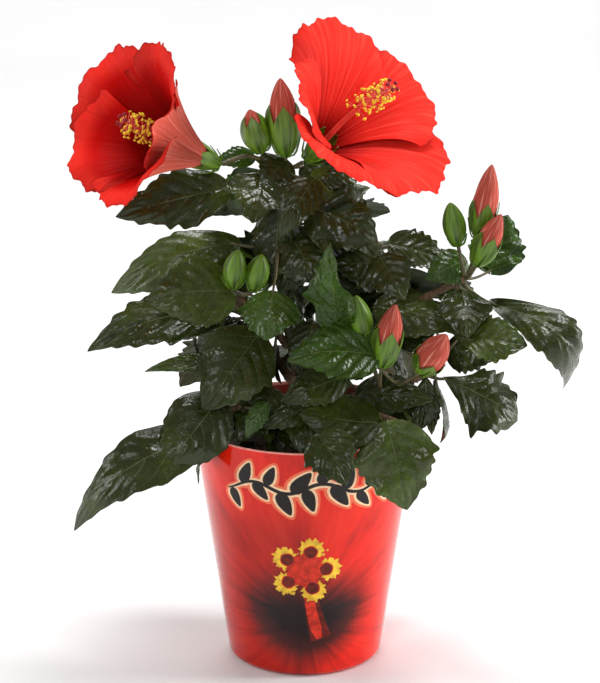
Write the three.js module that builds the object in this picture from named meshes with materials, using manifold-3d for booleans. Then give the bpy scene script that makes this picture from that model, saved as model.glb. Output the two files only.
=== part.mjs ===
// A potted hibiscus shrub: a tapered printed pot with its soil, one short trunk, slender boughs,
// two open blooms, clusters of buds, and a loose crown of large drooping leaves.
// Millimetres, +Z up. The origin is the middle of the pot's flat underside, and -Y is the front.

import * as THREE from "three";
import { mergeVertices } from "three/addons/utils/BufferGeometryUtils.js";
import Module from "manifold-3d";

const wasm = await Module();
wasm.setup();

// Driving dimensions

const GAP = 0.3;
const LEAF_GAP = 0.6;

const POT_HEIGHT = 155;
const POT_RIM_RADIUS = 70;
const POT_FOOT_RADIUS = 47;
const POT_WALL = 1.8;
const POT_FLOOR = 3;
const POT_EDGE_ROUND = 6;
const POT_EDGE_STEPS = 4;
const POT_SIDES = 36;

const SOIL_LEVEL = 143;
const SOIL_CROWN = 2;

const LIMB_SIDES = 6;
const LIMB_STEPS = 6;
const ROOT_FLARE = 0.7;
const ROOT_FLARE_LENGTH = 0.25;

const BLADE_THICKNESS = 3;
const BLADE_ROWS = 6;
const BLADE_COLUMNS = 2;
const BLADE_CUP = 0.14;
const BLADE_NECK = 2.5;
const BLADE_BELLY = 0.72;
const BLADE_FULLNESS = 0.75;
const BLADE_TIP_TAPER = 0.12;
const STALK_HALF_WIDTH = 1.4;

const BLOOM_SIDES = 20;
const BLOOM_STEPS = 4;
const BLOOM_THICKNESS = 3;
const BLOOM_WALL_INSET = 1;
const BLOOM_FLARE = 1.2;
const BLOOM_OPENING = 1.8;
const CALYX_LENGTH = 18;
const CALYX_RADIUS = 8;
const PETAL_COUNT = 5;
const PETAL_LOBE = 0.07;
const PETAL_RUFFLE = 3;
const COLUMN_SIDES = 8;
const COLUMN_RADIUS = 2.2;
const ANTHER_RADIUS = 5.5;

const BUD_SIDES = 6;
const BUD_STEPS = 4;
const BUD_SHOULDER = 0.75;
const BUD_FULLNESS = 0.7;
const BUD_STALK_SIDES = 6;
const BUD_STALK_LAP = 2;
const BUD_STALK_RADIUS = 1.6;
const BUD_KNOT_RADIUS = 3.2;
const BUD_KNOT_DETAIL = 1;

const MASS_DETAIL = 1;
const MASS_UNEVENNESS = 0.16;

// Finishes

const finish = (color, roughness) => new THREE.MeshStandardMaterial({ color, roughness, metalness: 0 });
const potFinish = finish(0xd8311f, 0.25);
const soilFinish = finish(0x3a2a1e, 0.95);
const barkFinish = finish(0x6b4a2e, 0.8);
const shootFinish = finish(0x4c5a26, 0.6);
const leafFinish = finish(0x27391a, 0.3);
const budFinish = finish(0x6f8f28, 0.5);
const petalFinish = finish(0xe2331f, 0.5);

// Solids

const at = (x, y, z) => new THREE.Vector3(x, y, z);
const degrees = THREE.MathUtils.degToRad;

function solidOf(geometry) {
  const bare = geometry.clone();
  bare.deleteAttribute("normal");
  bare.deleteAttribute("uv");
  const closed = mergeVertices(bare, 1e-4);
  const vertProperties = new Float32Array(closed.attributes.position.array);
  const triVerts = new Uint32Array(closed.index.array);
  return new wasm.Manifold(new wasm.Mesh({ numProp: 3, vertProperties, triVerts }));
}

function geometryOf(solid) {
  const { vertProperties, triVerts } = solid.getMesh();
  const geometry = new THREE.BufferGeometry();
  geometry.setAttribute("position", new THREE.BufferAttribute(vertProperties, 3));
  geometry.setIndex(new THREE.BufferAttribute(triVerts, 1));
  geometry.computeVertexNormals();
  return geometry;
}

function reshape(geometry, move) {
  const position = geometry.attributes.position;
  const vertex = new THREE.Vector3();
  for (let i = 0; i < position.count; i++) {
    vertex.fromBufferAttribute(position, i);
    position.setXYZ(i, ...move(vertex).toArray());
  }
  return geometry;
}

// The turn that lays local +Y along the given direction.
function turnTo(direction) {
  return new THREE.Quaternion().setFromUnitVectors(at(0, 1, 0), direction.clone().normalize());
}

// The plant as it grows: every new solid is cut clear of the ones already there.

const shrub = new THREE.Group();
const grown = [];

function largestPiece(solid) {
  return solid.decompose().reduce((best, piece) => (piece.volume() > best.volume() ? piece : best));
}

function grow(name, material, shape, gap = GAP) {
  let solid = shape(0);
  for (const other of grown) {
    if (solid.intersect(other).volume() > 0) solid = largestPiece(solid.subtract(other));
  }
  grown.push(shape(gap).add(solid));
  const mesh = new THREE.Mesh(geometryOf(solid), material);
  mesh.name = name;
  shrub.add(mesh);
}

// Pot and soil

const POT_FLOOR_RADIUS = POT_FOOT_RADIUS - POT_EDGE_ROUND / 2;

function potWall(z) {
  return THREE.MathUtils.mapLinear(z, 0, POT_HEIGHT, POT_FOOT_RADIUS, POT_RIM_RADIUS);
}

function potInside(z) {
  return THREE.MathUtils.mapLinear(z, POT_FLOOR, POT_HEIGHT, POT_FLOOR_RADIUS, POT_RIM_RADIUS - POT_WALL);
}

function turned(profile) {
  const points = profile.map(([radius, z]) => new THREE.Vector2(radius, z));
  return solidOf(new THREE.LatheGeometry(points, POT_SIDES).rotateX(Math.PI / 2));
}

function potSolid(clearance) {
  const profile = [[0, 0]];
  for (let i = 0; i <= POT_EDGE_STEPS; i++) {
    const angle = ((i / POT_EDGE_STEPS) * Math.PI) / 2;
    const inset = POT_EDGE_ROUND * (1 - Math.sin(angle));
    profile.push([potWall(POT_EDGE_ROUND) - inset, POT_EDGE_ROUND * (1 - Math.cos(angle))]);
  }
  profile.push([POT_RIM_RADIUS + clearance, POT_HEIGHT + clearance]);
  profile.push([potInside(POT_HEIGHT) - clearance, POT_HEIGHT + clearance]);
  profile.push([potInside(POT_FLOOR) - clearance, POT_FLOOR + clearance]);
  profile.push([0, POT_FLOOR + clearance]);
  return turned(profile);
}

function soilSolid(clearance) {
  const low = POT_FLOOR + GAP * 2;
  const high = SOIL_LEVEL - SOIL_CROWN + clearance;
  return turned([
    [0, low],
    [potInside(low) - GAP * 2, low],
    [potInside(high) - GAP * 2, high],
    [0, SOIL_LEVEL + clearance],
  ]);
}

grow("pot", potFinish, potSolid);
grow("soil", soilFinish, soilSolid);

// Trunk and boughs: one tapering limb each, along a smooth line through its own few points.

const limbs = {};

function limb(name, material, points, baseRadius, tipRadius, flare = 0) {
  const line = new THREE.CatmullRomCurve3(points.map((point) => at(...point)));
  limbs[name] = line;
  const frames = line.computeFrenetFrames(LIMB_STEPS);
  grow(name, material, (clearance) => {
    const rod = new THREE.CylinderGeometry(1, 1, 1, LIMB_SIDES, LIMB_STEPS);
    const solid = reshape(rod, (vertex) => {
      const along = vertex.y + 0.5;
      const step = Math.round(along * LIMB_STEPS);
      const spread = 1 + flare * Math.max(0, 1 - along / ROOT_FLARE_LENGTH);
      const radius = THREE.MathUtils.lerp(baseRadius, tipRadius, along) * spread + clearance;
      return line
        .getPoint(along)
        .addScaledVector(frames.tangents[step], Math.sign(vertex.y) * (along % 1 === 0 ? clearance : 0))
        .addScaledVector(frames.normals[step], vertex.x * radius)
        .addScaledVector(frames.binormals[step], -vertex.z * radius);
    });
    return solidOf(solid);
  });
}

const FOOT = SOIL_LEVEL + GAP * 2;

// name, finish, points along its middle, radius at its base, radius at its tip, root flare
limb("stem", barkFinish, [[0, 0, FOOT], [-1, 1, 155], [-3, 1, 168], [-4, 2, 184]], 6, 4.6, ROOT_FLARE);
limb("leader", shootFinish, [[-4, 2, 184.5], [-12, 0, 225], [-15, -2, 270], [-18, -4, 318]], 4.2, 2.6);
limb("right_bough", barkFinish, [[-4, 2, 180], [20, 3, 200], [55, 0, 222], [98, -5, 246]], 3.6, 2.2);
limb("back_right_bough", shootFinish, [[-11, 1, 215], [12, 12, 240], [45, 16, 262]], 2.8, 1.8);
limb("low_right_bough", barkFinish, [[-2, 1, 162], [20, -12, 170], [50, -28, 182], [79, -24, 192]], 3.2, 2);
limb("low_front_bough", barkFinish, [[0, 0, 154], [14, -20, 162], [37, -38, 171], [62, -44, 163]], 3, 2);
limb("low_left_bough", barkFinish, [[-1, 1, 158], [-18, -16, 168], [-48, -36, 172]], 3, 2);
limb("left_bough", barkFinish, [[-5, 2, 194], [-22, -2, 215], [-46, -8, 240]], 3, 2);
limb("back_bough", barkFinish, [[-4, 2, 176], [-6, 28, 208], [0, 52, 258]], 3.4, 2);
limb("back_left_bough", barkFinish, [[-3, 2, 170], [-28, 26, 198], [-56, 44, 234]], 3.2, 2);
limb("left_bloom_stalk", shootFinish, [[-18, -4, 316], [-34, -12, 325], [-51, -17, 321]], 2, 2);
limb("right_bloom_stalk", shootFinish, [[-18, -4, 310], [-9, -5, 315], [0, -8.6, 321]], 2, 2);

// Blooms: a calyx, a funnel of ruffled petals and the long column that stands out of its throat.

function bloomSolid(foot, axis, rimRadius, depth, columnLength, turn, clearance) {
  const outer = [new THREE.Vector2(0, GAP), new THREE.Vector2(CALYX_RADIUS / 2, BLOOM_WALL_INSET)];
  const inner = [];
  for (let i = 0; i <= BLOOM_STEPS; i++) {
    const along = i / BLOOM_STEPS;
    const radius = CALYX_RADIUS + (rimRadius - CALYX_RADIUS) * along ** BLOOM_FLARE;
    const height = CALYX_LENGTH + (depth - CALYX_LENGTH) * (1 - (1 - along) ** BLOOM_OPENING);
    const spread = i === BLOOM_STEPS ? clearance : -clearance;
    outer.push(new THREE.Vector2(radius + clearance, height - clearance));
    if (i > 0) {
      const innerRadius = radius - BLOOM_WALL_INSET + spread;
      inner.unshift(new THREE.Vector2(innerRadius, height + BLOOM_THICKNESS + clearance));
    }
  }
  inner.push(new THREE.Vector2(0, CALYX_LENGTH + BLOOM_THICKNESS));
  const funnel = reshape(new THREE.LatheGeometry(outer.concat(inner), BLOOM_SIDES), (vertex) => {
    const reach = Math.hypot(vertex.x, vertex.z) / rimRadius;
    const lobes = Math.cos(PETAL_COUNT * (Math.atan2(vertex.z, vertex.x) - turn));
    const scale = 1 + PETAL_LOBE * lobes * reach;
    return at(vertex.x * scale, vertex.y - PETAL_RUFFLE * lobes * reach ** 3, vertex.z * scale);
  });
  const columnHeight = columnLength - CALYX_LENGTH;
  const topRadius = ANTHER_RADIUS + clearance;
  const column = new THREE.CylinderGeometry(topRadius, COLUMN_RADIUS + clearance, columnHeight, COLUMN_SIDES);
  column.translate(0, CALYX_LENGTH + columnHeight / 2, 0);
  return solidOf(funnel)
    .add(solidOf(column))
    .transform(new THREE.Matrix4().compose(foot, turnTo(axis), at(1, 1, 1)).toArray());
}

// name, foot, axis, rim radius, depth, column length, turn
const blooms = [
  ["left_bloom", [-52, -18, 321], [-65, -46, 43], 49, 74, 90, 0.5],
  ["right_bloom", [1, -9, 322], [53, -50, 70], 59, 58, 84, 0.2],
];
for (const [name, foot, axis, ...sizes] of blooms) {
  grow(name, petalFinish, (clearance) => bloomSolid(at(...foot), at(...axis), ...sizes, clearance));
}

// Buds: pointed ovals on short stalks that leave one knot on the shoot.

function budSolid(foot, tip, radius, clearance) {
  const length = foot.distanceTo(tip);
  const profile = [new THREE.Vector2(0, -clearance)];
  for (let i = 1; i < BUD_STEPS; i++) {
    const along = i / BUD_STEPS;
    const swell = Math.sin(Math.PI * along ** BUD_SHOULDER) ** BUD_FULLNESS;
    profile.push(new THREE.Vector2(radius * swell + clearance, length * along));
  }
  profile.push(new THREE.Vector2(0, length + clearance));
  const place = new THREE.Matrix4().compose(foot, turnTo(tip.clone().sub(foot)), at(1, 1, 1));
  return solidOf(new THREE.LatheGeometry(profile, BUD_SIDES)).transform(place.toArray());
}

function stalkSolid(start, end, radius) {
  const line = end.clone().sub(start);
  const stalk = new THREE.CylinderGeometry(radius, radius, line.length() + BUD_STALK_LAP, BUD_STALK_SIDES);
  const middle = start.clone().add(end).multiplyScalar(0.5);
  return solidOf(stalk).transform(new THREE.Matrix4().compose(middle, turnTo(line), at(1, 1, 1)).toArray());
}

function budCluster(name, knot, buds) {
  grow(name, budFinish, (clearance) => {
    const ball = new THREE.IcosahedronGeometry(BUD_KNOT_RADIUS + clearance, BUD_KNOT_DETAIL);
    let solid = solidOf(ball.translate(...knot.toArray()));
    for (const { foot, tip, radius } of buds) {
      solid = solid.add(stalkSolid(knot, foot, BUD_STALK_RADIUS + clearance));
      solid = solid.add(budSolid(foot, tip, radius, clearance));
    }
    return solid;
  });
}

budCluster("top_buds", at(-18, -4, 322), [
  { foot: at(-27, -6, 326), tip: at(-32, -8, 354), radius: 8.5 },
  { foot: at(-9, -6, 323), tip: at(-14, -8, 373), radius: 10.5 },
]);
budCluster("left_buds", at(-38, -14, 239), [
  { foot: at(-44, -24, 247), tip: at(-40, -28, 271), radius: 6.5 },
  { foot: at(-31, -22, 244), tip: at(-25, -28, 267), radius: 6.5 },
]);
budCluster("right_buds", at(99, -6, 250), [
  { foot: at(93, -8, 267), tip: at(88, -10, 295), radius: 7 },
  { foot: at(106, -5, 272), tip: at(113, -9, 319), radius: 8.5 },
  { foot: at(104, -15, 256), tip: at(119, -22, 291), radius: 8 },
]);
budCluster("front_buds", at(48, -30, 185), [
  { foot: at(36, -38, 217), tip: at(30, -44, 247), radius: 7 },
  { foot: at(46, -42, 203), tip: at(54, -52, 244), radius: 9 },
  { foot: at(70, -38, 197), tip: at(86, -50, 224), radius: 10 },
]);

// Leaves: a thin arched blade with its stalk, from a point on its limb to the leaf's own tip.
// The blade's line is its length, compass heading (0 is +X, 90 is the back) and slope.

const FRONT = at(0, -1, 0.45);
const FRONT_UP = at(0, -0.8, 0.75);
const LEFT_FRONT = at(-0.6, -0.8, 0.2);
const BACK = at(0, 1, 0.5);
const BACK_UP = at(0, 0.7, 0.8);

function bladeHalfWidth(along, width) {
  const swell = Math.sin(Math.PI * along ** BLADE_BELLY) ** BLADE_FULLNESS;
  return Math.max(BLADE_NECK, (width / 2) * swell * (1 - BLADE_TIP_TAPER * along));
}

function bladeLine(leaf) {
  const heading = degrees(leaf.heading);
  const slope = degrees(leaf.slope);
  const level = Math.cos(slope);
  const direction = at(Math.cos(heading) * level, Math.sin(heading) * level, Math.sin(slope));
  return { direction, base: leaf.tip.clone().addScaledVector(direction, -leaf.length) };
}

function leafSolid(leaf, clearance) {
  const { direction, base } = bladeLine(leaf);
  const side = direction.clone().cross(leaf.face).normalize();
  const normal = side.clone().cross(direction).normalize();
  const root = limbs[leaf.limb].getPoint(leaf.at);
  const stalk = base.clone().sub(root).normalize();
  const stalkSide = side.clone().addScaledVector(stalk, -side.dot(stalk)).normalize();
  const stalkNormal = stalkSide.clone().cross(stalk);
  const plate = new THREE.BoxGeometry(2, BLADE_ROWS, 1, BLADE_COLUMNS, BLADE_ROWS);
  return solidOf(
    reshape(plate, (vertex) => {
      const row = vertex.y + BLADE_ROWS / 2;
      const along = Math.max(0, (row - 1) / (BLADE_ROWS - 1));
      const half = row < 1 ? STALK_HALF_WIDTH : bladeHalfWidth(along, leaf.width);
      const across = vertex.x * (half + clearance);
      const arch = leaf.arch * leaf.length * 4 * along * (1 - along);
      const cup = BLADE_CUP * vertex.x ** 2 * half;
      const thickness = row < 1 ? STALK_HALF_WIDTH * 2 : BLADE_THICKNESS;
      const spine = row < 1 ? root : base.clone().addScaledVector(direction, leaf.length * along);
      const end = row === 0 ? -clearance : row === BLADE_ROWS ? clearance : 0;
      return spine
        .clone()
        .addScaledVector(direction, end)
        .addScaledVector(row < 1 ? stalkSide : side, across)
        .addScaledVector(row < 1 ? stalkNormal : normal, arch - cup + vertex.z * (thickness + 2 * clearance));
    }),
  );
}

// name, limb, share of the limb's length, tip, length, width, heading, slope, arch, face
const leaves = [
  ["upper_left_leaf", "leader", 0.93, [-113, -34, 292], 68, 43, 195, -12, 0.08, FRONT],
  ["left_high_leaf", "leader", 0.65, [-117, 12, 229], 80, 42, 175, -25, 0.32, FRONT_UP],
  ["left_front_leaf", "left_bough", 0.95, [-96, -36, 243], 54, 46, 195, 0, 0.08, FRONT],
  ["left_long_leaf", "left_bough", 0.75, [-133, -20, 205], 82, 40, 190, -15, 0.1, FRONT_UP],
  ["left_low_leaf", "back_left_bough", 0.3, [-95, 24, 177], 44, 20, 185, -5, 0.08, FRONT_UP],
  ["left_hanging_leaf", "left_bough", 0.45, [-60, -54, 177], 58, 52, 220, -45, 0.1, FRONT],
  ["left_rim_leaf", "low_left_bough", 1, [-84, -66, 138], 54, 48, 215, -45, 0.12, FRONT],
  ["lowest_left_leaf", "low_left_bough", 0.9, [-140, -50, 105], 98, 34, 185, -35, 0.34, FRONT_UP],
  ["centre_high_leaf", "leader", 0.98, [-30, -42, 292], 36, 40, 265, -40, 0.12, FRONT],
  ["centre_long_leaf", "leader", 0.85, [-21, -16, 242], 50, 32, 235, -80, 0.04, FRONT],
  ["upper_right_leaf", "leader", 0.88, [45, -14, 273], 46, 46, 355, -25, 0.08, FRONT],
  ["twisted_leaf", "low_front_bough", 0.45, [15, -48, 280], 46, 20, 250, 75, 0.1, LEFT_FRONT],
  ["centre_front_leaf", "leader", 0.72, [-22, -60, 224], 34, 38, 265, -45, 0.1, FRONT],
  ["glossy_front_leaf", "low_right_bough", 0.75, [-10, -64, 212], 54, 38, 195, 0, 0.1, FRONT_UP],
  ["lower_centre_leaf", "low_front_bough", 0.4, [17, -68, 156], 36, 50, 255, -55, 0.1, FRONT],
  ["pot_front_leaf", "low_front_bough", 0.5, [26, -86, 142], 36, 34, 310, -40, 0.1, FRONT],
  ["lower_right_leaf", "low_front_bough", 0.75, [58, -66, 117], 54, 52, 330, -75, 0.1, FRONT],
  ["right_back_leaf", "back_right_bough", 0.95, [88, 24, 247], 38, 28, 5, -20, 0.12, FRONT_UP],
  ["young_right_leaf", "right_bough", 0.97, [135, 8, 264], 26, 44, 345, 5, 0.1, FRONT],
  ["right_hanging_leaf", "back_right_bough", 0.9, [59, -28, 239], 31, 32, 310, -50, 0.08, FRONT],
  ["right_wide_leaf", "right_bough", 0.35, [96, -16, 216], 54, 36, 350, -15, 0.08, FRONT_UP],
  ["right_heart_leaf", "right_bough", 0.97, [97, -38, 219], 31, 36, 270, -40, 0.1, FRONT],
  ["right_front_leaf", "low_right_bough", 0.9, [134, -42, 213], 44, 30, 340, -5, 0.1, FRONT_UP],
  ["far_right_leaf", "right_bough", 0.97, [168, -4, 176], 68, 30, 350, -50, 0.38, FRONT_UP],
  ["right_fan_leaf", "low_right_bough", 0.95, [130, -28, 160], 50, 44, 355, -30, 0.1, FRONT_UP],
  ["right_drooping_leaf", "low_right_bough", 0.85, [69, -36, 159], 32, 20, 230, -70, 0.06, FRONT],
  ["back_top_leaf", "back_bough", 0.98, [4, 104, 276], 60, 50, 85, -15, 0.12, BACK_UP],
  ["back_upper_left_leaf", "back_left_bough", 0.95, [-60, 94, 238], 60, 46, 110, -10, 0.12, BACK_UP],
  ["back_upper_right_leaf", "back_bough", 0.9, [52, 86, 264], 62, 48, 40, 0, 0.12, BACK_UP],
  ["back_middle_left_leaf", "back_left_bough", 0.75, [-36, 104, 216], 62, 48, 80, -20, 0.14, BACK],
  ["back_middle_right_leaf", "back_bough", 0.6, [40, 100, 228], 66, 50, 60, -10, 0.12, BACK],
  ["back_left_leaf", "back_left_bough", 0.9, [-100, 72, 234], 50, 40, 155, -5, 0.12, BACK_UP],
  ["back_right_leaf", "right_bough", 0.6, [104, 62, 218], 60, 44, 45, -10, 0.14, BACK_UP],
  ["back_low_left_leaf", "back_left_bough", 0.4, [-78, 78, 150], 60, 44, 135, -40, 0.14, BACK],
  ["back_low_leaf", "back_bough", 0.25, [-6, 100, 148], 60, 46, 90, -35, 0.14, BACK],
  ["back_low_right_leaf", "right_bough", 0.25, [72, 76, 152], 64, 44, 45, -30, 0.14, BACK],
];
for (const [name, limbName, share, tip, length, width, heading, slope, arch, face] of leaves) {
  const leaf = { limb: limbName, at: share, tip: at(...tip), length, width, heading, slope, arch, face };
  grow(name, leafFinish, (clearance) => leafSolid(leaf, clearance), LEAF_GAP);
}

// Inner masses: the packed foliage round the forks, as uneven lumps.

function massSolid(middle, size, turn, clearance) {
  const ball = new THREE.IcosahedronGeometry(1, MASS_DETAIL);
  return solidOf(
    reshape(ball, (vertex) => {
      const level = Math.sin(3.1 * vertex.x + turn) + Math.sin(4.3 * vertex.y - turn);
      const scale = 1 + (MASS_UNEVENNESS / 2) * (level + Math.sin(3.7 * vertex.z));
      return vertex.multiplyScalar(scale).multiply(size.clone().addScalar(clearance)).add(middle);
    }),
  );
}

// name, middle, half sizes, turn of the ripples
const masses = [
  ["upper_mass", [4, 12, 276], [36, 14, 24], 0.4],
  ["left_mass", [-42, 22, 212], [22, 16, 22], 1.9],
  ["right_mass", [66, 18, 226], [28, 14, 16], 3.1],
  ["low_mass", [-26, -26, 160], [20, 12, 12], 4.6],
];
for (const [name, middle, size, turn] of masses) {
  grow(name, leafFinish, (clearance) => massSolid(at(...middle), at(...size), turn, clearance));
}

export default shrub;
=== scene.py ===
"""Potted hibiscus shrub: leaves, blooms, buds, bark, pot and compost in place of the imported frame's solids.

Lengths are in metres in the frame's own axes: +Z is up, -Y is the front and the pot's foot is at the origin.
"""

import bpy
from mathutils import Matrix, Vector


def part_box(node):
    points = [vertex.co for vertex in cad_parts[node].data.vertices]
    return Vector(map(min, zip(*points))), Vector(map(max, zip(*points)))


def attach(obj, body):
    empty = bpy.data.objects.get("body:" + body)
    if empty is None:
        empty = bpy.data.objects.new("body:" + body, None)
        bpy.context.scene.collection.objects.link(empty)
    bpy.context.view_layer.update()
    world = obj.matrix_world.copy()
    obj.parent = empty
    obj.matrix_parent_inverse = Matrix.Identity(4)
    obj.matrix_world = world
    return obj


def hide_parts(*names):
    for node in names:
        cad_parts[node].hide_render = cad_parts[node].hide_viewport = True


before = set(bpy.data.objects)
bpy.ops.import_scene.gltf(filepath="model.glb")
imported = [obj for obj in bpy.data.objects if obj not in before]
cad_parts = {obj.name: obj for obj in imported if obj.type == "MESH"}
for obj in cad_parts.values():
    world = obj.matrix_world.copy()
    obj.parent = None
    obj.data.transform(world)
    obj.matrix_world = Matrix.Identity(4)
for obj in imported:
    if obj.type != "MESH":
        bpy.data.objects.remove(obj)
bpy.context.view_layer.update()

import math
import random

import bpy
import numpy as np
from bpy.props import FloatProperty, FloatVectorProperty, IntProperty, PointerProperty
from bpy.types import Operator, Panel, PropertyGroup
from mathutils import Vector

bl_info = {
    "name": "Potted Hibiscus Shrub",
    "version": (1, 0, 0),
    "blender": (4, 5, 0),
    "location": "3D View > Sidebar > Hibiscus",
    "description": "Builds a potted hibiscus shrub round its packed frame",
    "category": "Add Mesh",
}

MM = 0.001
BODY = "root"
GOLDEN_ANGLE = math.radians(137.5)

# First seeds of the random draws, so that every run gives the same plant.
BARK_SEED = 7
PAD_SEED = 100
SMALL_LEAF_SEED = 300
MASS_SEED = 500
RUN_SEED = 700
BUD_SEED = 11
PRINT_SEED = 21
SOIL_SEED = 5

# The limb that each limb springs from, and the limbs whose bark is still green.
LIMB_PARENTS = {
    "stem": None,
    "leader": "stem",
    "right_bough": "stem",
    "back_right_bough": "leader",
    "low_right_bough": "stem",
    "low_front_bough": "stem",
    "low_left_bough": "stem",
    "left_bough": "leader",
    "back_bough": "stem",
    "back_left_bough": "stem",
    "left_bloom_stalk": "leader",
    "right_bloom_stalk": "leader",
}
GREEN_LIMBS = ("leader", "back_right_bough", "left_bloom_stalk", "right_bloom_stalk")


# ---------------------------------------------------------------------------------------------- settings


def length(name, description, default):
    """A length, whose default is given in millimetres."""
    default = default * MM
    return FloatProperty(name=name, description=description, default=default, unit="LENGTH", precision=5)


def share(name, description, default):
    """A share of a whole."""
    return FloatProperty(name=name, description=description, default=default, min=0.0, subtype="FACTOR")


def colour(name, description, default):
    """A base colour."""
    limits = dict(min=0, max=1, subtype="COLOR")
    return FloatVectorProperty(name=name, description=description, default=default, **limits)


class LeafSizes(PropertyGroup):
    """How a leaf blade is shaped."""

    thickness: length("Thickness", "Thickness of a blade", 0.35)
    pucker: length("Pucker", "Height of the blade between two side veins", 0.8)
    vein_width: length("Vein width", "Width of the midrib at its foot", 1.0)
    stalk_radius: length("Stalk radius", "Radius of a leaf stalk", 1.1)
    teeth: IntProperty(name="Teeth", description="Teeth on each margin", default=8, min=3)
    tooth_depth: share("Tooth depth", "Depth of a tooth as a share of the half width", 0.11)
    vein_pitch: share("Vein pitch", "Distance between side veins as a share of the length", 0.17)
    vein_sweep: share("Vein sweep", "How far a side vein runs forward as a share of the length", 0.36)


class BloomSizes(PropertyGroup):
    """How an open bloom is shaped."""

    thickness: length("Thickness", "Thickness of a petal", 0.35)
    throat: length("Throat", "Radius of the funnel where the petals meet", 5)
    ruffle: length("Ruffle", "Height of the waves along a petal's margin", 3.0)
    column_radius: length("Column radius", "Radius of the column in the throat", 1.5)
    anthers: IntProperty(name="Anthers", description="Anthers on a column", default=80, min=1)
    anther_radius: length("Anther radius", "Radius of one anther", 1.05)
    stigma_radius: length("Stigma radius", "Radius of one stigma pad", 1.5)


class PotSizes(PropertyGroup):
    """How the pot and its print are shaped."""

    edge_round: length("Edge round", "Radius of the rounded foot edge", 6)
    wall: length("Wall", "Thickness of the pot's wall", 1.5)
    print_height: length("Print height", "Height of the printed flower's middle", 75)
    print_ring: length("Print ring", "Radius of the ring of printed discs", 13)
    sprig_height: length("Sprig height", "Height of the printed sprig below the rim", 24)
    sprig_half_width: length("Sprig half width", "Half the length of the printed sprig", 52)


class Colours(PropertyGroup):
    """Base colours of the plant and the pot."""

    leaf: colour("Leaf", "Grown leaf", (0.024, 0.036, 0.004))
    young_leaf: colour("Young leaf", "Young leaf", (0.034, 0.078, 0.007))
    leaf_back: colour("Leaf back", "Underside of a leaf", (0.055, 0.085, 0.030))
    vein: colour("Vein", "Vein of a leaf", (0.060, 0.085, 0.022))
    stalk: colour("Stalk", "Stalks and green shoots", (0.085, 0.075, 0.028))
    bark: colour("Bark", "Woody stems", (0.14, 0.085, 0.042))
    petal: colour("Petal", "Face of a petal", (0.86, 0.027, 0.017))
    # Painted shade: the left bloom's face is coloured this dark red to stand in for the shade inside it; the
    # other bloom's throat is darkened from it too.
    deep_petal: colour("Deep petal", "Face of the shaded bloom", (0.56, 0.002, 0.001))
    petal_back: colour("Petal back", "Underside of a petal", (0.88, 0.15, 0.10))
    anther: colour("Anther", "Pollen", (0.98, 0.66, 0.03))
    stigma: colour("Stigma", "Stigma pads", (0.28, 0.005, 0.01))
    calyx: colour("Calyx", "Calyx and bracts", (0.105, 0.21, 0.010))
    pot: colour("Pot", "Printed red", (0.76, 0.014, 0.004))
    soil: colour("Soil", "Compost", (0.035, 0.02, 0.012))


# ---------------------------------------------------------------------------------------------- finishes


class Finish:
    """One procedural material under construction. Scales are in features to the metre."""

    def __init__(self, name):
        self.material = bpy.data.materials.new(name)
        self.material.use_nodes = True
        self.tree = self.material.node_tree
        self.shader = self.tree.nodes["Principled BSDF"]
        self.place = self.tree.nodes.new("ShaderNodeTexCoord").outputs

    def node(self, kind, inputs, **settings):
        """Adds a node: its settings come first, then its inputs, which are linked or filled in."""
        node = self.tree.nodes.new("ShaderNode" + kind)
        for name, value in settings.items():
            setattr(node, name, value)
        for name, value in inputs.items():
            socket = node.inputs[name]
            if isinstance(value, bpy.types.NodeSocket):
                self.tree.links.new(value, socket)
            else:
                socket.default_value = (*value, 1.0) if socket.type == "RGBA" else value
        return node

    def set(self, **values):
        """Fills in inputs of the shader."""
        for name, value in values.items():
            self.shader.inputs[name.replace("_", " ").title().replace("Ior", "IOR")].default_value = value
        return self

    def plug(self, source, socket):
        """Links an input of the shader."""
        self.tree.links.new(source, self.shader.inputs[socket])
        return self

    def stretch(self, scale, space="Object"):
        """Coordinates that are scaled along each axis."""
        return self.node("Mapping", {"Vector": self.place[space], "Scale": scale}).outputs["Vector"]

    def axes(self, space):
        """The X, Y and Z coordinates, each on its own."""
        return self.node("SeparateXYZ", {"Vector": self.place[space]}).outputs

    def noise(self, scale, detail=3.0, vector=None, roughness=0.5):
        """Cloudy brightness."""
        vector = vector or self.place["Object"]
        inputs = {"Vector": vector, "Scale": scale, "Detail": detail, "Roughness": roughness}
        return self.node("TexNoise", inputs).outputs["Fac"]

    def ramp(self, source, stops):
        """Colours or brightnesses at stops between 0 and 1."""
        node = self.node("ValToRGB", {"Fac": source})
        elements = node.color_ramp.elements
        while len(elements) < len(stops):
            elements.new(0.5)
        for element, (position, value) in zip(elements, stops):
            element.position = position
            element.color = (value, value, value, 1.0) if isinstance(value, float) else (*value, 1.0)
        return node.outputs["Color"]

    def mix(self, factor, first, second, blend="MIX"):
        """The second colour laid over the first."""
        node = self.node("Mix", {0: factor, 6: first, 7: second}, data_type="RGBA", blend_type=blend)
        return node.outputs[2]

    def shaded(self, ground, *shades):
        """The ground multiplied by each of the shades."""
        for darker in shades:
            ground = self.mix(1.0, ground, darker, "MULTIPLY")
        return ground

    def math(self, operation, first, second=0.0):
        """The result of one operation on two values."""
        return self.node("Math", {0: first, 1: second}, operation=operation).outputs["Value"]

    def plus(self, first, second):
        return self.math("ADD", first, second)

    def times(self, first, second):
        return self.math("MULTIPLY", first, second)

    def less(self, first, second):
        return self.math("SUBTRACT", first, second)

    def reach(self, first, second):
        """Length of the slope over two lengths at right angles."""
        return self.math("SQRT", self.plus(self.times(first, first), self.times(second, second)))

    def relief(self, height, strength, distance):
        """Bumps in the surface, up to the given distance."""
        node = self.node("Bump", {"Strength": strength, "Distance": distance, "Height": height})
        return self.plug(node.outputs["Normal"], "Normal")


def shade(base, factor):
    """A colour made darker or lighter."""
    return tuple(min(1.0, channel * factor) for channel in base)


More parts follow.
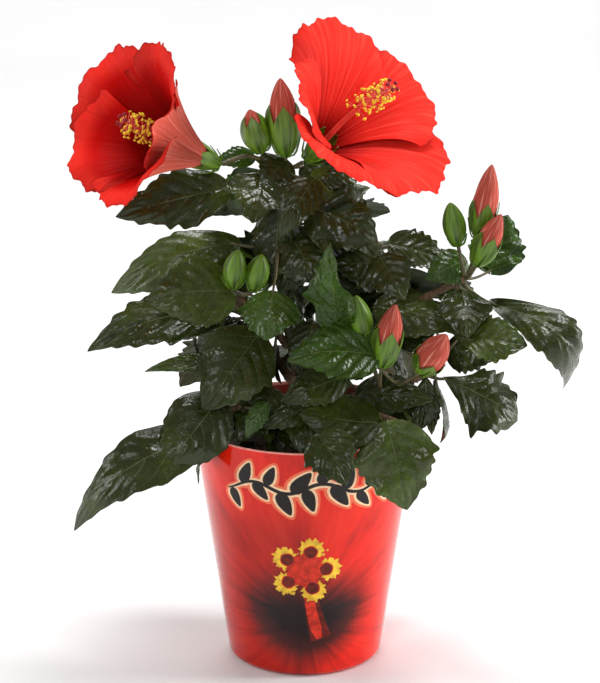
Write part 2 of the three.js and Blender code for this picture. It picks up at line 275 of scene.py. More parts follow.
def leaf_finish(name, base, light, bump):
    """Glossy skin of a leaf: cloudy green with small cobbles between its finest veins."""
    made = Finish(name)
    stops = [(0.3, shade(base, 0.65)), (0.55, base), (0.75, shade(base, light))]
    cloud = made.ramp(made.noise(38, 4), stops)
    fleck = made.ramp(made.noise(420, 2), [(0.35, 0.78), (0.65, 1.15)])
    made.plug(made.shaded(cloud, fleck), "Base Color")
    made.plug(made.ramp(made.noise(90), [(0.35, 0.16), (0.65, 0.38)]), "Roughness")
    cells = made.node("TexVoronoi", {"Vector": made.place["Object"], "Scale": 430}).outputs["Distance"]
    made.relief(made.plus(cells, made.noise(300)), bump, 0.5 * MM)
    return made.set(specular_ior_level=0.36).material


def dull_finish(name, base, scale, low, high, roughness, bump):
    """Matt skin with soft mottling and a fine tooth."""
    made = Finish(name)
    stops = [(0.3, shade(base, low)), (0.7, shade(base, high))]
    made.plug(made.ramp(made.noise(scale, 4), stops), "Base Color")
    patches = made.noise(scale * 3, 2)
    made.plug(made.ramp(patches, [(0.3, roughness - 0.08), (0.7, roughness + 0.08)]), "Roughness")
    made.relief(made.noise(scale * 12), bump, 0.3 * MM)
    return made.material


def bark_finish(name, base):
    """Thin bark: long cracks up the stem over a mottled ground."""
    made = Finish(name)
    grain = made.noise(1.0, 6, made.stretch((420, 420, 70)), 0.6)
    stops = [(0.3, shade(base, 0.45)), (0.5, base), (0.72, shade(base, 1.9))]
    made.plug(made.ramp(grain, stops), "Base Color")
    made.relief(grain, 0.6, 0.6 * MM)
    return made.set(roughness=0.75).material


def petal_finish(name, stops, vein, vein_share):
    """Silky petal: a ground that changes towards the rim, veins that fan out with painted shade in the
    furrows between them, a painted shadow beside the petal that laps over it, and a dark hem.
    """
    made = Finish(name)
    across, out, _ = made.axes("UV")
    cloud = made.noise(24, 4)
    ground = made.ramp(made.plus(out, made.times(made.less(cloud, 0.5), 0.16)), stops)
    veins = made.noise(1.0, 5, made.stretch((34, 1.3, 1), "UV"), 0.62)
    veined = made.mix(made.ramp(veins, [(0.52, 0.0), (0.66, vein_share)]), ground, vein)
    # Painted shade: darker in the furrows, the low parts of the same noise that raises the veins' relief.
    furrow_shade = made.ramp(veins, [(0.32, 0.86), (0.48, 1.0)])
    # Painted shadow: darker on the side that lies under the neighbouring petal's overlapping edge.
    lap_shadow = made.ramp(across, [(0.16, 0.66), (0.42, 1.0)])
    hem = made.ramp(out, [(0.965, 1.0), (1.0, 0.7)])
    made.plug(made.shaded(veined, furrow_shade, lap_shadow, hem), "Base Color")
    made.plug(made.ramp(cloud, [(0.3, 0.44), (0.7, 0.6)]), "Roughness")
    made.relief(veins, 0.5, 0.6 * MM)
    return made.set(specular_ior_level=0.05).material


def calyx_finish(name, base):
    """Satin green calyx with darker streaks that run from foot to tip."""
    made = Finish(name)
    streak = made.noise(1.0, 4, made.stretch((15, 0.8, 1), "UV"), 0.55)
    stops = [(0.36, shade(base, 0.35)), (0.5, base), (0.68, shade(base, 1.45))]
    made.plug(made.ramp(streak, stops), "Base Color")
    made.relief(streak, 0.4, 0.4 * MM)
    return made.set(roughness=0.42).material


# The printed throat: height its streaks fan out from, half width and depth of its dark bowl, height of the
# bowl's widest place, and the heights where the dark starts and ends to fade.
STREAKS_FROM = 40 * MM
BOWL_HALF_WIDTH = 46 * MM
BOWL_DEPTH = 54 * MM
BOWL_WAIST = 58 * MM
BOWL_FADE = (58 * MM, 88 * MM)


def pot_finish(name, base):
    """Glossy printed plastic: a red ground streaked like a petal, with a dark bowl-shaped throat."""
    made = Finish(name)
    across, _, height = made.axes("Object")
    rise = made.less(height, STREAKS_FROM)
    fan = made.times(made.math("ARCTAN2", rise, across), 7.0)
    rays = made.node("CombineXYZ", {"X": fan, "Y": made.times(made.reach(across, rise), 22.0)})
    streak = made.noise(1.0, 5, rays.outputs["Vector"], 0.6)
    light = (base[0] * 1.12, base[1] * 1.9, base[2] * 1.6)
    ground = made.ramp(streak, [(0.32, shade(base, 0.68)), (0.5, base), (0.7, light)])
    fold = made.ramp(made.times(across, 10.0), [(0.0, 0.62), (0.12, 1.0)])
    low_down = made.ramp(height, [(0.100, 1.0), (0.125, 0.0)])
    ground = made.mix(low_down, ground, fold, "MULTIPLY")
    below = made.math("MINIMUM", made.less(height, BOWL_WAIST), 0.0)
    bowl = made.reach(made.times(across, 1 / BOWL_HALF_WIDTH), made.times(below, 1 / BOWL_DEPTH))
    bowl = made.plus(bowl, made.times(made.less(streak, 0.5), 0.2))
    ragged = made.plus(height, made.times(streak, 0.02))
    faded = made.ramp(ragged, [(BOWL_FADE[0], 1.0), (BOWL_FADE[1], 0.0)])
    outer = made.times(made.ramp(bowl, [(0.70, 1.0), (1.0, 0.0)]), faded)
    inner = made.times(made.ramp(bowl, [(0.50, 1.0), (0.84, 0.0)]), faded)
    dim = made.mix(outer, ground, (0.10, 0.012, 0.008))
    made.plug(made.mix(inner, dim, (0.010, 0.003, 0.003)), "Base Color")
    made.relief(made.noise(90, 2), 0.03, 0.4 * MM)
    return made.set(roughness=0.14, coat_weight=0.45, coat_roughness=0.04, specular_ior_level=0.08).material


def print_finish(name, base, variation):
    """Printed ink on the pot: slightly uneven, as glossy as the plastic."""
    made = Finish(name)
    low, high = shade(base, 1.0 - variation), shade(base, 1.0 + variation)
    made.plug(made.ramp(made.noise(260), [(0.35, low), (0.65, high)]), "Base Color")
    made.relief(made.noise(700, 2), 0.04, 0.2 * MM)
    return made.set(roughness=0.18, coat_weight=0.1, coat_roughness=0.08, specular_ior_level=0.2).material


FINISHES = {}


def make_finishes(colours):
    """Makes every finish of the plant and the pot, once."""
    base = {name: tuple(getattr(colours, name)) for name in colours.__annotations__}
    petal, throat_and_shade_red, back = base["petal"], base["deep_petal"], base["petal_back"]
    petal_stops = [(0.14, shade(throat_and_shade_red, 0.55)), (0.34, shade(petal, 0.8)), (0.7, petal)]
    # Painted shade: the shaded bloom's face stays dark for most of the way out and turns to lit petal red
    # only near the rim.
    shade_painted_stops = [(0.2, shade(throat_and_shade_red, 0.3)), (0.72, throat_and_shade_red), (0.86, shade(petal, 0.9))]
    back_stops = [(0.2, shade(back, 0.7)), (0.8, back)]
    bud_stops = [(0.3, shade(back, 0.6)), (0.9, shade(back, 0.45))]
    makers = {
        leaf_finish: dict(
            leaf=(base["leaf"], 1.7, 0.4),
            soft_leaf=(shade(base["leaf"], 1.9), 1.6, 0.4),
            young_leaf=(base["young_leaf"], 1.5, 0.75),
        ),
        dull_finish: dict(
            leaf_back=(base["leaf_back"], 60, 0.75, 1.25, 0.6, 0.3),
            vein=(base["vein"], 90, 0.7, 1.3, 0.4, 0.2),
            young_vein=(shade(base["vein"], 1.7), 90, 0.8, 1.2, 0.4, 0.2),
            stalk=(base["stalk"], 140, 0.7, 1.4, 0.5, 0.4),
            anther=(base["anther"], 700, 0.8, 1.1, 0.7, 0.6),
            stigma=(base["stigma"], 900, 0.6, 1.5, 0.8, 0.9),
            column=((0.72, 0.10, 0.07), 200, 0.8, 1.15, 0.5, 0.3),
            pot_inside=((0.30, 0.03, 0.02), 60, 0.85, 1.1, 0.45, 0.2),
            soil=(base["soil"], 160, 0.4, 2.2, 0.9, 1.0),
            crumb=((0.09, 0.05, 0.03), 200, 0.5, 1.6, 0.9, 0.8),
        ),
        petal_finish: dict(
            petal=(petal_stops, shade(back, 1.1), 0.25),
            deep_petal=(shade_painted_stops, shade(petal, 0.6), 0.3),
            petal_back=(back_stops, (0.95, 0.42, 0.34), 0.6),
            bud_petal=(bud_stops, (0.84, 0.36, 0.30), 0.8),
        ),
        bark_finish: dict(bark=(base["bark"],)),
        calyx_finish: dict(calyx=(base["calyx"],)),
        pot_finish: dict(pot=(base["pot"],)),
        print_finish: dict(
            rim=((0.80, 0.30, 0.24), 0.1),
            ink_black=((0.012, 0.008, 0.008), 0.3),
            ink_cream=((0.93, 0.62, 0.38), 0.1),
            ink_peach=((0.86, 0.16, 0.07), 0.1),
            ink_yellow=((0.90, 0.52, 0.04), 0.25),
            ink_red=((0.62, 0.03, 0.012), 0.3),
            ink_maroon=((0.14, 0.010, 0.005), 0.4),
        ),
    }
    for maker, finishes in makers.items():
        for name, values in finishes.items():
            FINISHES[name] = maker(name, *values)


# ---------------------------------------------------------------------------------------------- meshes


def unit(vector):
    """The same direction with a length of one."""
    vector = np.asarray(vector, float)
    return vector / (np.linalg.norm(vector, axis=-1, keepdims=True) + 1e-12)


def full_turn(sides):
    """Evenly spaced angles once round, without the last."""
    return np.linspace(0, 2 * math.pi, sides, endpoint=False)


def spoke(turn, side, up):
    """Directions at angles from side towards up."""
    return np.multiply.outer(np.cos(turn), side) + np.multiply.outer(np.sin(turn), up)


def skin_round(foot, axis, rise, wide, ring):
    """Points of a skin round an axis, from their heights along it, their radii and their directions."""
    return foot + rise[..., None] * axis + wide[..., None] * ring


def grid_quads(rows, columns, wrap=False):
    """Faces of a grid of points, rows first. A wrapped grid joins its last column to its first."""
    across = columns if wrap else columns - 1
    i, j = np.meshgrid(np.arange(rows - 1), np.arange(across), indexing="ij")
    k = (j + 1) % columns
    near, far = i * columns, (i + 1) * columns
    return np.stack([near + j, near + k, far + k, far + j], -1).reshape(-1, 4)


def stand(name, data):
    """Puts a new object in the scene."""
    made = bpy.data.objects.new(name, data)
    bpy.context.scene.collection.objects.link(made)
    return made


class Sheaf:
    """Joined sheets, tubes and balls of one kind, kept as one mesh with a finish for each face."""

    def __init__(self, *finishes):
        self.finishes = finishes
        self.points, self.quads, self.finish, self.places = [], [], [], []
        self.count = 0

    def add(self, points, quads, finish, places=None):
        """Adds points and the faces between them."""
        points = np.asarray(points, float).reshape(-1, 3)
        self.points.append(points)
        self.quads.append(quads + self.count)
        self.finish.append(np.full(len(quads), self.finishes.index(finish)))
        self.places.append(np.zeros((len(points), 2)) if places is None else places.reshape(-1, 2))
        self.count += len(points)

    def sheet(self, points, thickness, face, back, places=None):
        """A closed thin sheet over a grid of points, with its own finish on each side."""
        rows, columns = points.shape[:2]
        du, dv = np.gradient(points, axis=0), np.gradient(points, axis=1)
        normal = unit(np.cross(dv, du))
        skin = grid_quads(rows, columns)
        self.add(points + normal * thickness / 2, skin[:, ::-1], face, places)
        self.add(points - normal * thickness / 2, skin, back, places)
        edge = np.concatenate([
            np.arange(columns),
            np.arange(2, rows) * columns - 1,
            np.arange(rows * columns - 1, (rows - 1) * columns - 1, -1),
            np.arange(rows - 2, 0, -1) * columns,
        ])
        after = np.roll(edge, -1)
        size = rows * columns
        band = np.stack([edge - 2 * size, after - 2 * size, after - size, edge - size], -1) + self.count
        self.quads.append(band[:, ::-1])
        self.finish.append(np.full(len(band), self.finishes.index(face)))

    def tube(self, line, radii, sides, finish, flat=1.0):
        """A round rod along a line of points, closed at both ends."""
        line = np.asarray(line, float)
        radii = np.broadcast_to(np.asarray(radii, float), (len(line),)).copy()
        line = np.vstack([line[:1], line, line[-1:]])
        radii = np.concatenate([[1e-6], radii, [1e-6]])
        tangent = unit(np.gradient(line, axis=0) + 1e-9)
        first = np.cross(tangent[len(line) // 2], (0.31, 0.2, 0.93))
        side = unit(first - tangent * (tangent @ unit(first))[:, None])
        other = np.cross(tangent, side)
        angle = full_turn(sides)[None, :, None]
        ring = side[:, None] * np.cos(angle) + flat * other[:, None] * np.sin(angle)
        points = line[:, None] + ring * radii[:, None, None]
        place = np.stack(np.meshgrid(np.linspace(0, 1, sides), np.linspace(0, 1, len(line))), -1)
        self.add(points, grid_quads(len(line), sides, True), finish, place)

    def ball(self, centre, radii, finish, axis, rings, sides):
        """A small ball, stretched along its own axis."""
        axis = unit(axis)
        across = unit(np.cross(axis, (0.3, 0.8, 0.52)))
        tilt = np.linspace(0.02, math.pi - 0.02, rings)[:, None]
        wide, tall = radii
        ring = spoke(full_turn(sides), across, np.cross(axis, across))
        points = skin_round(np.asarray(centre), axis, -np.cos(tilt) * tall, np.sin(tilt) * wide, ring)
        self.add(points, grid_quads(rings, sides, True), finish)

    def piece(self, name, slot, nodes=()):
        """Turns the sheaf into an object that rides on the frame and stands for the given nodes."""
        points, quads = np.concatenate(self.points), np.concatenate(self.quads)
        mesh = bpy.data.meshes.new(name)
        mesh.vertices.add(len(points))
        mesh.vertices.foreach_set("co", points.ravel())
        mesh.loops.add(quads.size)
        mesh.loops.foreach_set("vertex_index", quads.ravel().astype(np.int32))
        mesh.polygons.add(len(quads))
        mesh.polygons.foreach_set("loop_start", np.arange(0, quads.size, 4, dtype=np.int32))
        mesh.polygons.foreach_set("material_index", np.concatenate(self.finish).astype(np.int32))
        mesh.polygons.foreach_set("use_smooth", np.ones(len(quads), bool))
        layer = mesh.uv_layers.new(name="along")
        layer.data.foreach_set("uv", np.concatenate(self.places)[quads.ravel()].ravel())
        for finish in self.finishes:
            mesh.materials.append(FINISHES[finish])
        mesh.update(calc_edges=True)
        mesh.validate()
        made = stand(name, mesh)
        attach(made, BODY)
        if nodes:
            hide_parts(*nodes)


def smooth_line(points, count):
    """A smooth line of so many points through the given ones."""
    points = np.asarray(points, float)
    padded = np.vstack([2 * points[0] - points[1], points, 2 * points[-1] - points[-2]])
    place = np.linspace(0, len(points) - 1 - 1e-9, count)
    index = place.astype(int)
    part = (place - index)[:, None]
    a, b, c, d = (padded[index + k] for k in range(4))
    bend, twist = 2 * a - 5 * b + 4 * c - d, 3 * b - a - 3 * c + d
    return 0.5 * (2 * b + (c - a) * part + bend * part**2 + twist * part**3)


# ---------------------------------------------------------------------------------------------- frame


def node_mesh(node):
    """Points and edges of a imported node."""
    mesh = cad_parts[node].data
    points = np.empty(len(mesh.vertices) * 3)
    mesh.vertices.foreach_get("co", points)
    edges = np.empty(len(mesh.edges) * 2, np.int32)
    mesh.edges.foreach_get("vertices", edges)
    return points.reshape(-1, 3), edges.reshape(-1, 2)


def slices(node, start, end, shares):
    """Where planes across the line from start to end cut the node: a set of points for each share."""
    points, edges = node_mesh(node)
    axis = end - start
    along = (points - start) @ axis / (axis @ axis)
    low, high = along[edges[:, 0]], along[edges[:, 1]]
    cuts = []
    for place in shares:
        crossing = (low - place) * (high - place) < 0
        part = ((place - low[crossing]) / (high[crossing] - low[crossing]))[:, None]
        ends = points[edges[crossing]]
        cuts.append(ends[:, 0] * (1 - part) + ends[:, 1] * part)
    return cuts


def far_ends(points):
    """The two points that lie farthest apart."""
    middle = points.mean(0)
    first = points[np.argmax(np.linalg.norm(points - middle, axis=1))]
    second = points[np.argmax(np.linalg.norm(points - first, axis=1))]
    third = points[np.argmax(np.linalg.norm(points - second, axis=1))]
    return second, third


def end_centre(points, end, reach):
    """Middle of the points near an end."""
    return points[np.linalg.norm(points - end, axis=1) < reach].mean(0)


# How near its ends a limb's end points are averaged, and the shares of its length where it is cut.
LIMB_FOOT_REACH = 8 * MM
LIMB_TIP_REACH = 6 * MM
LIMB_CUTS = np.linspace(0.08, 0.96, 11)
LIMBS = {}


def facing_limbs(ends, limbs):
    """The two ends of a piece, with the one that is nearer to the limbs first."""
    near = [np.linalg.norm(limbs - end, axis=1).min() for end in ends]
    return ends if near[0] < near[1] else ends[::-1]


def limb_line(name):
    """Middle line and radii of a limb, from its foot to its tip."""
    if name not in LIMBS:
        points, _ = node_mesh(name)
        parent = LIMB_PARENTS[name]
        grown_from = node_mesh(parent)[0] if parent else np.zeros((1, 3))
        start, end = facing_limbs(far_ends(points), grown_from)
        start, end = end_centre(points, start, LIMB_FOOT_REACH), end_centre(points, end, LIMB_TIP_REACH)
        middles, radii = [start], []
        for cut in slices(name, start, end, LIMB_CUTS):
            middle = (cut.min(0) + cut.max(0)) / 2
            middles.append(middle)
            radii.append(np.linalg.norm(cut - middle, axis=1).mean())
        middles.append(end)
        LIMBS[name] = (np.array(middles), np.array([radii[0], *radii, radii[-1]]))
    return LIMBS[name]


def on_limb(name, place):
    """The point of a limb's middle line at a share of its length."""
    return smooth_line(limb_line(name)[0], 101)[round(place * 100)]


# How near its ends a pad's end points are averaged, the shares of its length where it is cut, and how wide
# its stalk can be and how many of the cuts it can take.
BLADE_ROOT_REACH = 3.2 * MM
BLADE_TIP_REACH = 3.6 * MM
BLADE_CUTS = np.linspace(0.02, 0.98, 49)
STALK_WIDTH = 7.5 * MM
STALK_CUTS = 30


def blade_frame(node):
    """Root, foot, tip, side, face direction, width and arch of the leaf that a pad stands for."""
    points, _ = node_mesh(node)
    limbs = np.vstack([limb_line(name)[0] for name in LIMB_PARENTS])
    root, tip = facing_limbs(far_ends(points), limbs)
    root, tip = end_centre(points, root, BLADE_ROOT_REACH), end_centre(points, tip, BLADE_TIP_REACH)
    cuts = slices(node, root, tip, BLADE_CUTS)
    narrow = 0
    while narrow < STALK_CUTS and np.linalg.norm(np.ptp(cuts[narrow], axis=0)) < STALK_WIDTH:
        narrow += 1
    foot = (cuts[narrow].min(0) + cuts[narrow].max(0)) / 2 if narrow else root
    spread = np.vstack([cut - (cut.min(0) + cut.max(0)) / 2 for cut in cuts[narrow:]])
    axis = unit(tip - foot)
    spread -= np.outer(spread @ axis, axis)
    side = np.linalg.svd(spread, full_matrices=False)[2][0]
    face = unit(np.cross(side, axis))
    middle = (foot + tip) / 2
    if face @ (unit(middle * (1, 1, 0)) * 0.8 + (0, -0.1, 0.6)) < 0:
        face = -face
    side = np.cross(axis, face)
    half = cuts[narrow + (len(cuts) - narrow) // 2]
    lift = ((half.min(0) + half.max(0)) / 2 - middle) @ face
    width = max(np.ptp(cut @ side) for cut in cuts)
    arch = lift / np.linalg.norm(tip - foot)
    return dict(root=root, foot=foot, tip=tip, side=side, face=face, width=width, arch=arch)


# ---------------------------------------------------------------------------------------------- leaves


# Where a blade's lobes stand out along its length: place, spread and strength beside the first.
LOBES = ((0.34, 0.06, 1.0), (0.58, 0.05, 0.6))
LEAST_HALF_WIDTH = 0.25 * MM

# Faces of a blade: rows to each tooth, and columns from margin to margin.
FINE_BLADE = (6, 28)
PLAIN_BLADE = (3, 12)

# Veins of a blade: points along the midrib and along a side vein, how far they stand out of each side, and
# how far their feet are sunk in it.
MIDRIB_POINTS = 20
SIDE_VEIN_POINTS = 9
VEIN_RISE = 0.14 * MM
BACK_VEIN_RISE = 0.3 * MM
VEIN_SUNK = 0.05 * MM

# Length from which a leaf has its full relief, and the points along a leaf's stalk.
FULL_LEAF = 60 * MM
STALK_POINTS = 9


def half_width(u, leaf):
    """Half the width of a blade along its length, before its teeth."""
    outline = np.sin(math.pi * np.clip(u, 0, 1) ** leaf["belly"]) ** 0.74 * (1 - 0.24 * u**3)
    lobes = sum(strength * np.exp(-(((u - place) / spread) ** 2)) for place, spread, strength in LOBES)
    return np.maximum(leaf["width"] / 2 * (outline + leaf["lobe"] * lobes), LEAST_HALF_WIDTH)


def tooth_bite(leaf, sizes, u, hand):
    """How far the margin bites out and in along a blade: uneven teeth that fade at its foot and tip."""
    step = u * sizes.teeth + 0.35 * hand + leaf["phase"]
    uneven = 1 + 0.5 * np.sin(2.4 * np.floor(step))
    fade = np.clip((u - 0.16) * 4, 0, 1) * np.clip((1 - u) * 9, 0, 1)
    return np.sin(math.pi * (step % 1.0) ** 1.7) * uneven * leaf["bite"] * fade


def blade_points(leaf, sizes, u, v):
    """Points of a leaf's blade: u runs from foot to tip and v from one margin to the other."""
    span, phase = np.linalg.norm(leaf["tip"] - leaf["foot"]), leaf["phase"]
    axis = unit(leaf["tip"] - leaf["foot"])
    part = np.abs(v)
    hand = np.where(v < 0, 0.0, 1.0)
    reach = half_width(u, leaf)
    bite = tooth_bite(leaf, sizes, u, hand)
    margin = part**7
    across = v * reach * (1 + sizes.tooth_depth * (bite - 0.35) * margin * 1.6)
    along = span * (u - leaf["heart"] * part**2 * (1 - u) ** 8 + 0.016 * bite * margin)
    rib = (u - sizes.vein_sweep * part**1.2) / sizes.vein_pitch
    pillow = np.sin(math.pi * rib) ** 2
    wrinkle = np.sin(rib * 5.1 + phase) * np.sin(part * 11 + phase * 2) * 0.3
    ripple = np.sin(5.3 * u + 2.1 * v + phase) * np.sin(4.1 * v - 2.7 * u + phase) * 1.6
    swell = np.clip(part * 7, 0, 1) * (1 - 0.75 * margin) * np.sin(math.pi * np.clip(u, 0, 1)) ** 0.4
    height = leaf["arch"] * span * 4 * u * (1 - u)
    height = height + leaf["pucker"] * sizes.pucker * (pillow + wrinkle + ripple) * swell
    height = height + leaf["fold"] * np.abs(across) - leaf["cup"] * part**2 * reach
    wave = np.sin(leaf["waves"] * 2 * math.pi * u + phase + hand * 2.1)
    height = height + leaf["wave"] * reach * wave * part**2
    height = height - leaf["droop"] * span * np.clip(u - 0.6, 0, 1) ** 2 * 2.5
    turn = leaf["twist"] * (u - 0.3)
    flat = across * np.cos(turn) + leaf["sway"] * span * np.sin(math.pi * u)
    tall = height + across * np.sin(turn)
    points = leaf["foot"] + along[..., None] * axis
    return points + flat[..., None] * leaf["side"] + tall[..., None] * leaf["face"]


def vein_strip(sheaf, leaf, sizes, u, v, widths, lift):
    """A thin raised strip along a vein, on one side of the blade."""
    step = 1e-3
    middle = blade_points(leaf, sizes, u, v)
    du = blade_points(leaf, sizes, u + step, v) - middle
    dv = blade_points(leaf, sizes, u, v + step) - middle
    normal = unit(np.cross(dv, du))
    if (normal @ leaf["face"]).mean() * lift < 0:
        normal = -normal
    tangent = unit(np.gradient(middle, axis=0))
    across = np.cross(normal, tangent)
    offset = np.array([-1.0, -0.5, 0.5, 1.0])
    rise = np.array([0.0, 1.0, 1.0, 0.0])
    base = sizes.thickness / 2 - VEIN_SUNK
    points = (
        middle[:, None]
        + across[:, None] * (offset[None, :] * widths[:, None] / 2)[..., None]
        + normal[:, None] * (base + rise[None, :] * abs(lift))[..., None]
    )
    sheaf.add(points, grid_quads(len(middle), 4), leaf["vein"])


def leaf_veins(sheaf, leaf, sizes, lift):
    """Midrib and side veins of one blade."""
    u = np.linspace(0.0, 0.95, MIDRIB_POINTS)
    width = sizes.vein_width * leaf["size"]
    vein_strip(sheaf, leaf, sizes, u, 0 * u, width * (1 - 0.75 * u), lift)
    t = np.linspace(0.02, 0.9, SIDE_VEIN_POINTS)
    place = 0.0
    while place < 0.84:
        along = place + sizes.vein_sweep * t**1.2
        keep = along < 0.97
        if keep.sum() > 4:
            for hand in (-1, 1):
                thin = width * (0.55 - 0.4 * t[keep])
                vein_strip(sheaf, leaf, sizes, along[keep], hand * t[keep], thin, lift * 0.8)
        place += sizes.vein_pitch


def add_leaf(sheaf, leaf, sizes, fine=True):
    """One whole leaf: its two-sided blade, its veins and its stalk."""
    rows, columns = FINE_BLADE if fine else PLAIN_BLADE
    u = np.linspace(0, 1, sizes.teeth * rows + 1)
    u, v = np.meshgrid(u, np.linspace(-1, 1, columns + 1), indexing="ij")
    places = np.stack([v / 2 + 0.5, u], -1)
    sheaf.sheet(blade_points(leaf, sizes, u, v), sizes.thickness, leaf["finish"], "leaf_back", places)
    leaf_veins(sheaf, leaf, sizes, VEIN_RISE)
    if fine:
        leaf_veins(sheaf, leaf, sizes, -BACK_VEIN_RISE)
    root, foot = leaf["root"], blade_points(leaf, sizes, np.array([0.015]), np.array([0.0]))[0]
    span = np.linalg.norm(foot - root)
    if span > 2 * MM:
        sag = np.array([0, 0, 0.08 * span])
        line = smooth_line([root, (root + foot) / 2 - sag, foot], STALK_POINTS)
        radius = sizes.stalk_radius * (0.7 + 0.3 * leaf["size"])
        sheaf.tube(line, radius * np.linspace(1.15, 0.8, STALK_POINTS), 8, "stalk")


def styled(leaf, rng, **changes):
    """Adds a leaf's own bends and waves, drawn from the seeded numbers unless they are given."""
    span = np.linalg.norm(leaf["tip"] - leaf["foot"])
    leaf["width"] *= changes.pop("broad", 1.0)
    leaf["arch"] *= changes.pop("bow", 1.0)
    shift = np.array(changes.pop("shift", (0.0, 0.0, 0.0))) * MM
    leaf["foot"], leaf["tip"] = leaf["foot"] + shift, leaf["tip"] + shift
    style = dict(
        fold=rng.uniform(-0.12, 0.22),
        cup=rng.uniform(0.05, 0.2),
        wave=rng.uniform(0.05, 0.14),
        waves=rng.uniform(1.4, 2.6),
        droop=rng.uniform(0.0, 0.25),
        twist=rng.uniform(-0.35, 0.35),
        sway=rng.uniform(-0.04, 0.04),
        heart=rng.uniform(0.03, 0.08),
        lobe=rng.uniform(0.0, 0.08),
        pucker=rng.uniform(0.7, 1.2),
        phase=rng.uniform(0, 6),
        belly=rng.uniform(0.58, 0.68),
        bite=rng.uniform(0.7, 1.1),
        finish="leaf",
        size=min(1.0, span / FULL_LEAF),
    )
    style.update(changes)
    style["vein"] = "young_vein" if style["finish"] == "young_leaf" else "vein"
    leaf.update(style)
    leaf["pucker"] *= leaf["size"]
    return leaf


# Bends and finishes of the leaves that differ from the common run, by pad.
LEAF_STYLES = {
    "upper_left_leaf": dict(lobe=0.14, fold=0.1, wave=0.14, broad=0.85, bow=0.6),
    "left_high_leaf": dict(
        shift=(-3, 0, 2), fold=-0.12, cup=0.3, wave=0.05, bow=0.55, belly=0.8, bite=0.4, finish="soft_leaf"
    ),
    "left_low_leaf": dict(
        shift=(-5, 0, 0), bite=0.15, lobe=0, broad=0.75, wave=0.03, pucker=0.5, fold=0.3, finish="soft_leaf"
    ),
    "left_front_leaf": dict(fold=0.05, cup=0.1, finish="soft_leaf", bite=0.6),
    "left_long_leaf": dict(bite=0.8, wave=0.08),
    "left_hanging_leaf": dict(fold=0.15, cup=0.05, wave=0.1, bite=0.7),
    "centre_front_leaf": dict(finish="young_leaf", fold=-0.1, cup=0.2, pucker=1.2, lobe=0.1),
    "glossy_front_leaf": dict(finish="young_leaf", fold=0.05, pucker=1.6, wave=0.1, bite=0.7, broad=1.1),
    "twisted_leaf": dict(finish="young_leaf", fold=0.3, twist=0.8, wave=0.2, broad=1.9, lobe=0.12),
    "young_right_leaf": dict(
        finish="young_leaf", wave=0.2, pucker=1.6, waves=3, broad=1.35, shift=(4, 6, -4)
    ),
    "right_heart_leaf": dict(heart=0.14, fold=0.05, bite=0.3),
    "right_hanging_leaf": dict(fold=0.1),
    "far_right_leaf": dict(
        shift=(-8, 0, -2), lobe=0.1, fold=-0.05, bow=2.2, bite=0.6, broad=1.05, belly=0.8
    ),
    "right_fan_leaf": dict(
        shift=(1, 0, 2), belly=1.5, lobe=0.1, wave=0.24, droop=0.3, waves=2.2, bite=1.0, broad=1.05
    ),
    "right_drooping_leaf": dict(belly=1.05, bite=0.9, wave=0.22, fold=0.1, waves=1.6),
    "right_wide_leaf": dict(finish="soft_leaf", bite=0.5),
    "right_front_leaf": dict(belly=1.15, bite=0.8, wave=0.14, broad=1.05, finish="soft_leaf"),
    "lower_centre_leaf": dict(fold=-0.05, bite=0.7),
    "lower_right_leaf": dict(shift=(4, 0, 0), wave=0.1, finish="soft_leaf", bite=0.7),
    "lowest_left_leaf": dict(
        shift=(-3, 0, -5), droop=0.1, wave=0.16, fold=-0.1, bite=0.35, broad=1.15, belly=0.58
    ),
    "left_rim_leaf": dict(shift=(-3, 0, 5), cup=0.25, fold=-0.05, bite=0.2, wave=0.05),
}

